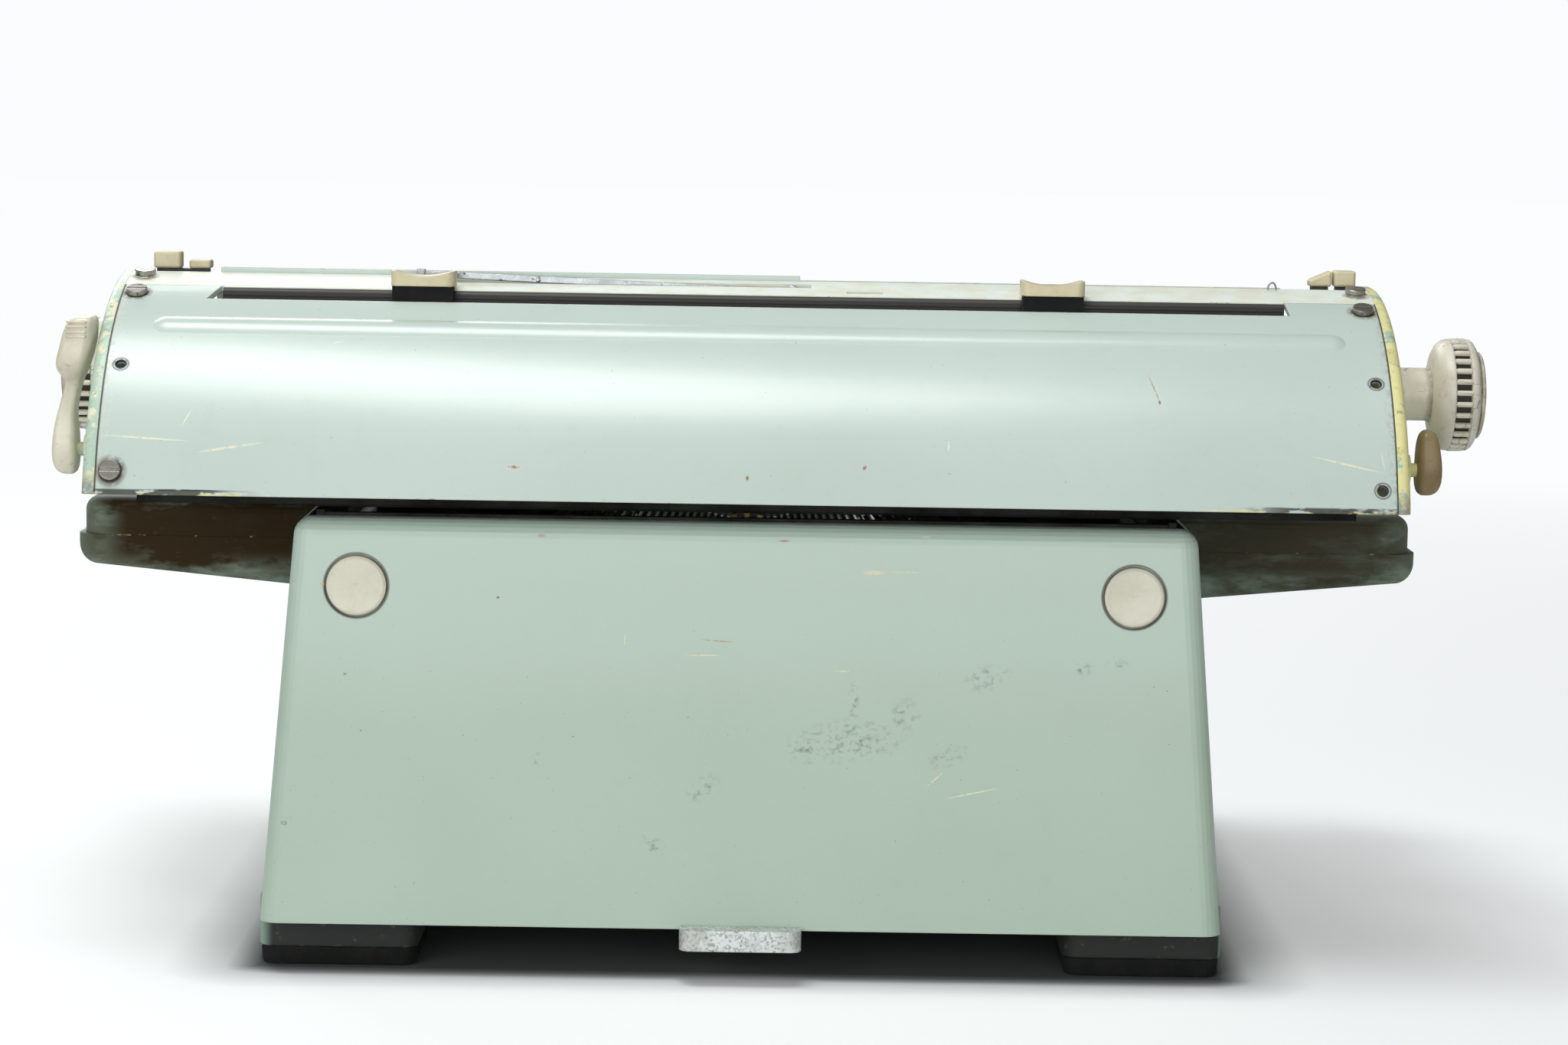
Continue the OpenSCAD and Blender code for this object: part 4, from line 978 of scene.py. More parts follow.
@dataclass(frozen=True)
class RibbonCloth:
    """Plain-woven cotton soaked with ink: black-violet with a fine thread relief."""

    name: str
    thread_mm: float = 0.5  # about three times too coarse, so that the threads show

    def material(self) -> bpy.types.Material:
        """Builds the inked cloth.

        Returns:
            The material.
        """
        coat = Coat(self.name, "#1d1a22", 0.75, 0.0, **{"Sheen Weight": 0.3})
        for axis in (Axis.X, Axis.Z):
            split = add(coat.tree, "ShaderNodeSeparateXYZ", {0: coat.mm})
            inputs = {0: split.outputs[axis.value], 1: 2 * math.pi / self.thread_mm}
            phase = add(coat.tree, "ShaderNodeMath", inputs, operation="MULTIPLY")
            wave = add(coat.tree, "ShaderNodeMath", {0: phase.outputs[0]}, operation="SINE").outputs[0]
            coat.relief(wave, 0.02)
        coat.lay("#35303c", coat.patches(6, 0.45, 0.7, 3, 4), 0.6, 0.8)
        return coat.done()


PANEL_SMUDGES = (
    Mark(-37.8, 86.5, 24, 9, 4), Mark(-57, 96, 6, 7, -30), Mark(-38.7, 100, 2.5, 8), Mark(-85.8, 109.4, 10, 5, 12),
    Mark(-119, 113.2, 4.5, 3), Mark(-131.3, 114.8, 5, 2.4), Mark(13.5, 69, 8, 5, 30), Mark(31.5, 48.9, 6, 4, -30),
    Mark(72, 77.4, 2, 4), Mark(-72.5, 81.5, 9, 4, 20), Mark(-22, 84, 8, 8),
)
PANEL_MARKS = (
    Mark(-45, 145.9, 4.5, 1.1, 0), Mark(-56, 146.2, 7, 0.35, 0), Mark(14.5, 115.9, 7.5, 0.28, 1),
    Mark(9.5, 121, 6.5, 0.25, -4, "#b9866f"), Mark(-68, 73.5, 4.5, 0.3, 42), Mark(-81, 68.6, 11, 0.32, 12),
    Mark(-34.6, 111, 3, 0.25), Mark(42.3, 121, 0.3, 2.4, 0), Mark(148.7, 138.8, 1.2, 0.8, 0, "#c9b98a"),
    Mark(161.5, 54.4, 1.4, 1.0, 0, "#7d8f83"), Mark(87.1, 135.1, 0.8, 0.5, 0, "#8c6b54"),
    Mark(140.6, 107.2, 0.8, 0.8, 0, "#7d8f83"),
    Mark(-13.2, 156.5, 2.2, 0.5, 0, "#c08a80"), Mark(-62.8, 158.6, 3, 0.4), Mark(72.3, 157.1, 2, 0.7, 0, "#c9a79c"),
)
COVER_MARKS = (
    Mark(210, 190.2, 16, 0.4, -3), Mark(180, 187.5, 12, 0.5, 9), Mark(204, 221, 3.6, 0.25, -52),
    Mark(196, 197, 3.4, 0.3, 62),
    Mark(81, 182.1, 3.2, 0.35, 6), Mark(196, 172.8, 18, 0.45, 0, "#23261f"), Mark(190, 171.7, 15, 0.3, 0),
    Mark(-209, 187.6, 14, 0.4, -12), Mark(-221.5, 189, 0.3, 3.6, 10), Mark(-142.6, 212, 0.3, 6, 22, "#a8876c"),
    Mark(-209, 171.6, 15, 0.5, 0, "#23261f"), Mark(-40.8, 184, 1.1, 0.8, 60, "#b8392c"),
    Mark(0, 180, 0.7, 1.3, 10, "#8f6a3a"),
    Mark(-70, 191.6, 0.4, 1.8, 0), Mark(81.2, 182.4, 2.6, 0.7, 0, "#a6694f"), Mark(26.8, 237.7, 1.6, 0.9, 0, "#4a3526"),
    Mark(145.8, 222.9, 2, 0.25, 10), Mark(-144.3, 207.3, 0.5, 0.9, 0, "#6b4a38"),
)


class Finish(Enum):
    """The finishes of the machine, each with what it is called in the record and how it is made."""

    SAGE = ("sage_enamel", Enamel("stoved_sage_enamel", "#b1c3b2", "#a7b9a7", smudges=PANEL_SMUDGES, marks=PANEL_MARKS))
    PALE = ("pale_enamel", CoverEnamel("stoved_pale_sage_enamel", "#c4d1c8", "#b9c8bd", 0.27, 0.7, marks=COVER_MARKS))
    STRIP = ("pale_enamel", StripEnamel("rubbed_pale_enamel", "#e2e9e1", "#d8e0d6", 0.62, 0.7))
    FOOT = ("grimy_enamel", ShadedFootEnamel("foot_bracket_enamel_with_painted_shade", "#8fa596", "#7f9585", 0.45, 0.7))
    GRIMY_SHADOWED = ("grimy_enamel", GrimeAndShadowEnamel("oil_stained_and_shadowed_sage_enamel", "#8ea393", "#7c9182", 0.4, 0.05))
    CAP_LEFT = ("primer_cap", FlakedCap("cap_flaked_to_primer", "#a9c3ae", "#e3dc9c", 0.9))
    CAP_RIGHT = ("primer_cap", FlakedCap("cap_enamel_flaking", "#b2c8b5", "#dfdfc0", 0.4))
    CREAM = ("cream_plastic", Plastic("cream_moulded_plastic", "#e6e1cd", dirt_share=0.2))
    AGED = ("cream_plastic", Plastic("aged_stop_key_plastic", "#d3c8a4", "#8f7b52", 0.38, 0.3))
    KNOB = ("cream_knob", KnobPlastic("aged_cream_knob_plastic", "#e2ddcd", dirt_share=0.3, cracks=True))
    LEVER_CREAM = ("cream_knob", Plastic("cream_lever_plastic", "#dcd6c1", "#8d7950", 0.3, 0.4))
    LEVER_TAN = ("cream_knob", Plastic("tanned_lever_plastic", "#8f7b55", "#574528", 0.38, 0.45))
    KEY = ("key_plastic", Plastic("key_top_plastic", "#e7e2d0", dirt_share=0.16))
    WIDE_KEY = ("wide_key_plastic", Plastic("grey_green_key_plastic", "#727566", "#3d3c30", 0.4, 0.3))
    RUBBER = ("black_rubber", Rubber("black_natural_rubber"))
    BLACK = ("black_enamel", BlackEnamel("black_japanned_steel"))
    OILED = ("frame_steel", Metal("oil_blackened_steel", "#2c2d2b", 0.5, "#151512", 0.6, 0.1))
    FRAME = ("frame_steel", Metal("dark_frame_steel", "#5a5d5a", 0.5, "#2a2a27", 0.6, 0.2))
    LEVER = ("lever_steel", Metal("dull_nickel_plated_steel", "#a4a6a2", 0.36, "#5a564c", 0.45, 0.25, (9.0, 9.0, 1.0)))
    SCREW = ("lever_steel", Metal("rusted_screw_steel", "#b0aca2", 0.3, "#5a4a3c", 0.5, 0.25))
    CHROME = ("bright_chrome", Metal("chromium_plate", "#a9adae", 0.24, "#54544f", 0.45, 0.2))
    SILVER = ("silver_paint", SilverPaint("aluminium_paint"))
    BRASS = ("brass", Metal("dull_cut_brass", "#8c7847", 0.45, "#33291a", 0.7))
    BELL = ("bell_metal", Metal("nickelled_bell_metal", "#b3aa8c", 0.28, "#6a6048", 0.3))
    LEGEND = ("black_enamel", Ink("legend_ink"))
    RIBBON = ("ribbon_cloth", RibbonCloth("inked_cotton_ribbon"))


class Paintshop:
    """Makes each finish once and puts it on pieces."""

    def __init__(self) -> None:
        """Starts with no material made and with one tree for copies."""
        self.made: dict[Finish, bpy.types.Material] = {}
        self.copier = Copier()

    def of(self, finish: Finish) -> bpy.types.Material:
        """Gives the material of a finish, made when it is first asked for.

        Args:
            finish: the finish.

        Returns:
            Its material.
        """
        if finish not in self.made:
            self.made[finish] = finish.value[1].material()
        return self.made[finish]

    def paint_node(self, node: str, finish: Finish) -> None:
        """Gives a CAD node that stays in view its finish."""
        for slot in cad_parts[node].material_slots:
            slot.material = self.of(finish)

    def hang(self, made: bpy.types.Object, finish: Finish, body: str, *nodes: str) -> bpy.types.Object:
        """Dresses a new piece and hangs it on its body.

        Args:
            made: the mesh object.
            finish: what it is finished in.
            body: the CAD body that it moves with.
            nodes: CAD nodes that it stands for.

        Returns:
            The same piece.
        """
        made.data.materials.clear()
        made.data.materials.append(self.of(finish))
        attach(made, body)
        if nodes:
            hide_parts(*nodes)
        log.info("%s on %s, %d faces", made.name, body, len(made.data.polygons))
        return made

    def split(self, node: str, body: str, parts: dict[str, tuple[Finish, Rule, float]]) -> None:
        """Replaces a CAD node by copies of its solids, each group in its own finish.

        Args:
            node: the CAD node.
            body: the body that it moves with.
            parts: for each new piece its finish, which faces it takes and its edge radius in millimetres.
        """
        for name, (finish, wanted, edge) in parts.items():
            self.hang(cut_from(node, name, wanted, edge), finish, body, node)


@dataclass
class SubAssembly:
    """A group of pieces that are made and dressed together."""

    shop: Paintshop
    nodes: dict[str, Finish] = field(default_factory=dict)

    def build(self) -> None:
        """Dresses the CAD nodes of the group that stay in view, then makes its own pieces."""
        for node, finish in self.nodes.items():
            self.shop.paint_node(node, finish)
        self.make_pieces()

    def make_pieces(self) -> None:
        """Makes the pieces that the solids leave out; a group with none keeps this."""


@dataclass
class Housing(SubAssembly):
    """The fixed shell: main housing, deck, ribbon cover, pan, feet and rear lip."""

    nodes: dict[str, Finish] = field(default_factory=lambda: {
        "main_housing": Finish.SAGE, "housing_plugs": Finish.CREAM, "bottom_pan": Finish.BLACK,
        "deck_lower": Finish.GRIMY_SHADOWED, "deck_upper": Finish.GRIMY_SHADOWED, "keyboard_surround": Finish.SAGE,
        "ribbon_cover": Finish.SAGE})
    foot_edge: float = 1.2
    foot_size: tuple[float, float] = (57, 54)
    foot_end: float = 172.5
    foot_corner: float = 5.0
    foot_middles: tuple[float, float] = (138, -161)
    pad_steps: tuple[tuple[float, float], ...] = (
        (0.0, 2.2), (0.4, 1.2), (1.2, 0.8), (5.6, 0.6), (6.6, 0.9), (6.7, 5.4), (8.3, 5.6))

    def make_pieces(self) -> None:
        """Rounds the feet, their brackets and the rear lip."""
        self.shop.split("foot_brackets", "chassis", {"foot_pressings": (Finish.FOOT, whole, self.foot_edge)})
        half_x, half_y = self.foot_size[0] / 2, self.foot_size[1] / 2
        pads = [lofted("foot_pad", [
            rounded((side * (self.foot_end - half_x), y, z), (1, 0, 0), (0, 1, 0), half_x - inset, half_y - inset,
                    self.foot_corner)
            for z, inset in self.pad_steps]) for side in (-1, 1) for y in self.foot_middles]
        self.shop.hang(joined("foot_pads", pads), Finish.RUBBER, "chassis", "rubber_feet")
        self.shop.split("rear_lip", "chassis", {"rear_catch": (Finish.SILVER, whole, 0.5)})


@dataclass
class Frame(SubAssembly):
    """The inner frame with its comb, rods, rail, bell, spools, spring drum and escapement."""

    nodes: dict[str, Finish] = field(default_factory=lambda: {
        "side_frames": Finish.OILED, "inner_frame": Finish.OILED, "key_comb": Finish.LEVER,
        "fulcrum_rod": Finish.LEVER, "carriage_rail": Finish.OILED, "spool_cups": Finish.BLACK,
        "bell": Finish.BELL, "ribbon_spool_left": Finish.BLACK, "ribbon_spool_right": Finish.BLACK,
        "mainspring_drum": Finish.LEVER, "escapement_wheel": Finish.BRASS})
    spool: Point = (118.0, -14.0, 145.3)
    pack_r: float = 22.2
    ribbon_h: float = 13.0
    ribbon_t: float = 0.3
    ribbon_lift: float = 1.5
    run_steps: int = 12
    guide: tuple[float, float] = (80.0, 37.0)
    vibrator: Point = (22.0, 59.7, 189.5)

    def make_pieces(self) -> None:
        """Winds the ribbon on both spools and leads it past the type guide."""
        x, y, z = self.spool
        for side, body in ((-1, "spool_left"), (1, "spool_right")):
            pack = turned(f"wound_{body}", Axis.Z, (side * x, y, z), [
                (1.2, 21.9), (1.2, self.pack_r), (8.0, self.pack_r + 0.02), (14.8, self.pack_r), (14.8, 21.9)])
            self.shop.hang(pack, Finish.RIBBON, body)
        self.lead_ribbon()

    def run_points(self) -> list[Point]:
        """Finds where the ribbon bends.

        Returns:
            Points on the middle line of its lower edge, from the left spool to the right one.
        """
        x, y, z = self.spool
        gx, gy = self.guide
        reach = math.hypot(gx - x, gy - y)
        tangent = math.atan2(y - gy, x - gx) - math.asin((self.pack_r + 0.1) / reach)
        run = math.sqrt(reach ** 2 - (self.pack_r + 0.1) ** 2)
        start = (gx + run * math.cos(tangent), gy + run * math.sin(tangent), z + self.ribbon_lift)
        half = [start, (gx, gy, z + self.ribbon_lift), self.vibrator]
        return [(-a, b, c) for a, b, c in half] + list(reversed(half))

    def lead_ribbon(self) -> None:
        """Makes the free run of the ribbon as one thin strip with soft bends at its guides."""
        corners = [Vector(p) for p in self.run_points()]
        line: list[Vector] = []
        for a, b in zip(corners, corners[1:]):
            line += [a.lerp(b, k / self.run_steps) for k in range(self.run_steps)]
        line.append(corners[-1])
        inner = [(a + b * 2 + c) / 4 for a, b, c in zip(line, line[1:], line[2:])]
        smooth = [line[0], *inner, line[-1]]
        rings = []
        for k, p in enumerate(smooth):
            way = smooth[min(k + 1, len(smooth) - 1)] - smooth[max(k - 1, 0)]
            flat = Vector((way.x, way.y, 0)).normalized()
            out = Vector((-flat.y, flat.x, 0)) * (self.ribbon_t / 2)
            tall = Vector((0, 0, self.ribbon_h))
            rings.append([p - out, p + out, p + out + tall / 2, p + out + tall, p - out + tall, p - out + tall / 2])
        strip = lofted("ink_ribbon", rings)
        self.shop.hang(strip, Finish.RIBBON, "chassis", "ribbon")


@dataclass
class Keyboard(SubAssembly):
    """Letter keys with their legends, space bar and wide keys."""

    pitch: float = 19.0
    cap: float = 15.0
    cap_h: float = 7.0
    dish_r: float = 27.2
    dish_depth: float = 1.2
    dish_reach: float = 20.0
    wide_from: float = 18.0
    legend_size: float = 6.4
    legend_up: float = 0.6
    legend_proud: float = 0.05
    lever_from: float = 60.0
    bar_lengths: tuple[float, float] = (100.0, 150.0)
    struck: tuple[int, int] = (1, 5)
    first_y: float = -156.0
    first_z: float = 62.0
    rise: float = 13.0
    first_x: float = -104.5
    shifts: tuple[float, ...] = (23.75, 14.25, 9.5, 0.0)
    legends: tuple[str, ...] = ("ZXCVBNM,./", "ASDFGHJKL;'", "QWERTYUIOP[]", "1234567890-=")
    wide: tuple[tuple[str, str, int, float, float], ...] = (
        ("shift_key_left", "shift_left", 0, -139, -112), ("shift_key_right", "shift_right", 0, 122, 148),
        ("shift_lock_key", "shift_lock", 1, -141, -102), ("tabulator_key", "tabulator", 2, -148, -107),
        ("margin_release_key", "margin_release", 2, 126, 155), ("backspace_key", "backspace", 3, 117, 140))

    def cap_rings(self, centre: Point, width: float, depth: float, height: float) -> list[list[Vector]]:
        """Rings of a moulded key top: skirt, rounded rim and dished finger face.

        Args:
            centre: middle of its top in millimetres.
            width: size along X.
            depth: size along Y.
            height: height of the skirt.

        Returns:
            The rings from the bottom to the middle of the dish.
        """
        x, y, z = centre
        rings = []
        for inset, drop, corner in ((0.5, height, 2.6), (0.1, height - 0.3, 3.0), (0.05, 2.2, 3.0), (0.0, 1.0, 3.1),
                                    (0.3, 0.35, 3.1), (0.8, 0.12, 3.0), (1.4, None, 2.8), (2.6, None, 2.4),
                                    (4.2, None, 1.8), (6.0, None, 0.9), (7.0, None, 0.3)):
            ring = rounded((x, y, 0), (1, 0, 0), (0, 1, 0), width / 2 - inset, depth / 2 - inset, corner)
            for p in ring:
                p.z = z - drop if drop is not None else z - self.dish(p.x - x, p.y - y, width)
            rings.append(ring)
        return rings

    def dish(self, dx: float, dy: float, width: float) -> float:
        """Depth of the dished face below the rim at a distance from the middle."""
        reach = min(math.hypot(dx if width < self.wide_from else 0.25 * dx, dy), self.dish_reach)
        return max(0.0, math.sqrt(self.dish_r ** 2 - reach ** 2) - (self.dish_r - self.dish_depth))

    def make_pieces(self) -> None:
        """Replaces the tops of all keys by moulded ones and sets their legends."""
        def is_lever(at: Vector, low: Vector, high: Vector) -> bool:
            """Tells a long steel lever from a top."""
            return high.y - low.y > self.lever_from

        for row in range(4):
            z = self.first_z + row * self.rise
            y = self.first_y + row * self.pitch
            spots = [(self.first_x + self.shifts[row] + i * self.pitch, y, z) for i in range(len(self.legends[row]))]
            chosen = list(zip(spots, self.legends[row]))
            body, node = f"keys_row_{row + 1}", f"key_row_{row + 1}"
            if row == self.struck[0]:
                self.make_tops("middle", "letter_key", "middle_key", [chosen.pop(self.struck[1])], is_lever)
            self.make_tops(f"row_{row + 1}", body, node, chosen, is_lever)
        for node, body, row, x0, x1 in self.wide:
            centre = ((x0 + x1) / 2, self.first_y + row * self.pitch, self.first_z + row * self.rise)
            top = lofted(f"{body}_top", self.cap_rings(centre, x1 - x0, self.cap, self.cap_h))
            self.shop.hang(top, Finish.WIDE_KEY, body, node)
            self.shop.split(node, body, {f"{body}_lever": (Finish.LEVER, is_lever, 0.0)})
        self.make_space_bar()

    def make_tops(self, name: str, body: str, node: str, chosen: list[tuple[Point, str]],
                  is_lever: Rule) -> None:
        """Makes the tops, legends and levers of one row.

        Args:
            name: start of the pieces' names.
            body: the row's body.
            node: the row's CAD node.
            chosen: middle of each top and its legend.
            is_lever: tells a lever's solid from a top's.
        """
        small = lofted("key_top_pattern", self.cap_rings((0, 0, 0), self.cap, self.cap, self.cap_h), placed=False)
        places = [Place(at) for at, legend in chosen]
        tops = self.shop.copier.run(f"{name}_tops", small, places, self.shop.of(Finish.KEY))
        self.shop.hang(tops, Finish.KEY, body, node)
        marks = joined(f"{name}_legends", [self.legend(at, text) for at, text in chosen])
        self.shop.hang(marks, Finish.LEGEND, body)
        self.shop.split(node, body, {f"{name}_levers": (Finish.LEVER, is_lever, 0.0)})

    def legend(self, at: Point, text: str) -> bpy.types.Object:
        """Sets one letter or figure into a key top, bent to its dish.

        Args:
            at: middle of the key's top.
            text: the letter, figure or sign.

        Returns:
            The legend's mesh.
        """
        words = bpy.data.curves.new("legend", "FONT")
        words.body, words.size, words.align_x, words.align_y = text, self.legend_size, "CENTER", "CENTER"
        words.resolution_u = 3
        typed = bpy.data.objects.new("legend", words)
        mesh = bpy.data.meshes.new_from_object(typed)
        bpy.data.objects.remove(typed)
        for vert in mesh.vertices:
            x, y = vert.co.x, vert.co.y + self.legend_up
            depth = self.dish(x, y, self.cap)
            vert.co = metres(at[0] + x, at[1] + y, at[2] - depth + self.legend_proud)
        return put("legend", mesh)

    def make_space_bar(self) -> None:
        """Parts the long bar from its steel arms and rounds its edges."""
        def is_bar(at: Vector, low: Vector, high: Vector) -> bool:
            """Tells the bar from its arms and its cross rod by its length."""
            return self.bar_lengths[0] < high.x - low.x <= self.bar_lengths[1]

        self.shop.split("space_bar", "space_key", {
            "space_bar_arms": (Finish.LEVER, lambda at, low, high: not is_bar(at, low, high), 0.0),
            "space_bar_top": (Finish.KEY, is_bar, 0.7)})


@dataclass
class TypeBasket(SubAssembly):
    """The segment with its typebars and their guide."""

    nodes: dict[str, Finish] = field(default_factory=lambda: {
        "segment": Finish.FRAME, "typebars": Finish.LEVER, "middle_typebar": Finish.LEVER,
        "type_guide": Finish.LEVER})


@dataclass
class Knob:
    """Platen knob of aged plastic: sleeve, domed back, ring with sunk pockets between its ribs, and a smaller face."""

    shop: Paintshop
    side: Side
    face_x: float
    sleeve_x: float = 231.4
    back: float = 21.0
    ribs: int = 30
    rib_r: float = 19.2
    rib_depth: float = 10.9

    def profile(self) -> list[tuple[float, float]]:
        """Lists the knob's steps.

        Returns:
            Distance from the face and radius of each, from the sleeve to the middle of the face.
        """
        sleeve, back = self.face_x - self.sleeve_x, self.back
        return [(sleeve, 0.5), (sleeve, 9.9), (back + 1.2, 9.9), (back + 0.2, 10.0), (back, 10.6),
                (back - 0.5, 13.2), (back - 1.3, 16.4), (back - 2.6, 19.0), (back - 4.4, 20.5), (back - 6.2, 20.9),
                (14.2, 20.9), (13.8, 20.4), (13.6, 19.2), (8.2, 19.2), (8.0, 20.4), (7.6, 20.9),
                (6.8, 20.8), (5.6, 20.0), (4.7, 18.6), (4.2, 17.0), (4.1, 15.6), (3.6, 15.3), (3.5, 16.2), (3.2, 16.3),
                (2.6, 16.2), (2.1, 15.4), (1.2, 11.0), (0.4, 6.0), (0.0, 0.5)]

    def make(self, body: str, node: str) -> None:
        """Turns the knob and sets its ribs.

        Args:
            body: the body that turns with the platen.
            node: the CAD node that it stands for.
        """
        s = self.side.value
        y, z = PLATEN
        core = turned(f"{node}_body", Axis.X, (s * self.face_x, y, z), [(-s * d, r) for d, r in self.profile()])
        self.shop.hang(core, Finish.KNOB, body, node)
        rib = lofted("rib_pattern", [rounded((x, 0, 0), (0, 1, 0), (0, 0, 1), w, t, min(w, t) * 0.9, 3) for x, w, t in (
            (-3.2, 0.4, 1.1), (-2.9, 0.8, 1.75), (-2.2, 0.98, 2.0), (2.2, 0.98, 2.0), (2.9, 0.8, 1.75),
            (3.2, 0.4, 1.1))], placed=False)
        x, step = s * (self.face_x - self.rib_depth), 2 * math.pi / self.ribs
        places = [Place((x, y - self.rib_r * math.sin(k * step), z + self.rib_r * math.cos(k * step)),
                        (k * step, 0.0, 0.0)) for k in range(self.ribs)]
        ribs = self.shop.copier.run(f"{node}_ribs", rib, places, self.shop.of(Finish.KNOB))
        self.shop.hang(ribs, Finish.KNOB, body)


@dataclass
class ReleaseLever:
    """Moulded carriage release lever: thumb pad with grip lines, waisted arm and round foot on its stud."""

    shop: Paintshop
    side: Side
    finish: Finish
    short: bool = False
    y: float = 150.0
    grip_x: float = 237.4
    grip_lines: tuple[tuple[float, float], ...] = ((223.7, 11.35), (225.3, 11.2), (227.2, 10.9), (228.9, 10.55))

    def sections(self) -> list[tuple[float, float, float, float, float]]:
        """Lists the lever's sections.

        Returns:
            Height, inner and outer side, and middle and half depth of each, from the foot to the top.
        """
        foot = [(174.0, 240.5, 243.0, 0.0, 2.0), (174.8, 239.4, 245.3, 0.0, 5.2), (177.2, 238.8, 246.9, 0.0, 6.9),
                (181.0, 238.6, 247.4, 0.0, 7.8), (186.0, 238.8, 247.2, 0.0, 7.6), (190.5, 238.8, 246.6, 0.0, 6.6)]
        if self.short:
            return foot + [
                (194.0, 239.2, 245.8, 0.2, 6.0), (196.0, 239.8, 245.0, 0.3, 5.2), (197.2, 240.9, 243.9, 0.4, 3.6),
                (197.6, 241.8, 243.0, 0.4, 1.6)]
        return foot + [
            (194.5, 239.3, 245.9, 0.4, 5.9), (198.2, 239.0, 244.7, 0.7, 5.4), (202.7, 238.2, 243.5, 1.0, 5.2),
            (206.5, 237.2, 242.5, 1.4, 5.4), (208.3, 236.5, 242.1, 1.8, 6.4), (210.5, 235.7, 244.0, 2.2, 8.4),
            (212.3, 235.0, 245.1, 2.4, 9.4), (215.6, 233.8, 245.1, 2.3, 9.7), (219.7, 232.7, 243.9, 2.0, 9.7),
            (222.9, 232.2, 243.2, 1.9, 9.6), (225.7, 232.0, 242.5, 1.8, 9.4), (228.9, 231.9, 240.9, 1.7, 9.0),
            (230.2, 232.2, 239.6, 1.6, 8.0), (230.8, 233.6, 238.2, 1.5, 6.4)]

    def make(self, body: str, node: str) -> None:
        """Lofts the lever and, on the long one, adds its grip lines.

        Args:
            body: the lever's body.
            node: the CAD node that it stands for.
        """
        s = self.side.value
        rings = [rounded((s * (x0 + x1) / 2, self.y + dy, z), (1, 0, 0), (0, 1, 0), (x1 - x0) / 2, half,
                         min((x1 - x0) / 2, half) * 0.62, 4) for z, x0, x1, dy, half in self.sections()]
        lever = lofted(f"{node}_moulding", rings, 60.0)
        smooth = lever.modifiers.new("smooth", "SUBSURF")
        smooth.levels = smooth.render_levels = 1
        settle(lever)
        self.shop.hang(lever, self.finish, body, node)
        if self.short:
            return
        grip = lofted("grip_pattern", [rounded((x, 0, 0), (0, 1, 0), (0, 0, 1), w, h, 0.2, 2) for x, w, h in (
            (-3.6, 0.1, 0.15), (-3.2, 0.5, 0.4), (3.2, 0.5, 0.4), (3.6, 0.1, 0.15))], placed=False)
        places = [Place((s * self.grip_x, self.y + depth, z)) for z, depth in self.grip_lines]
        lines = self.shop.copier.run(f"{node}_grip", grip, places, self.shop.of(self.finish))
        self.shop.hang(lines, self.finish, body)


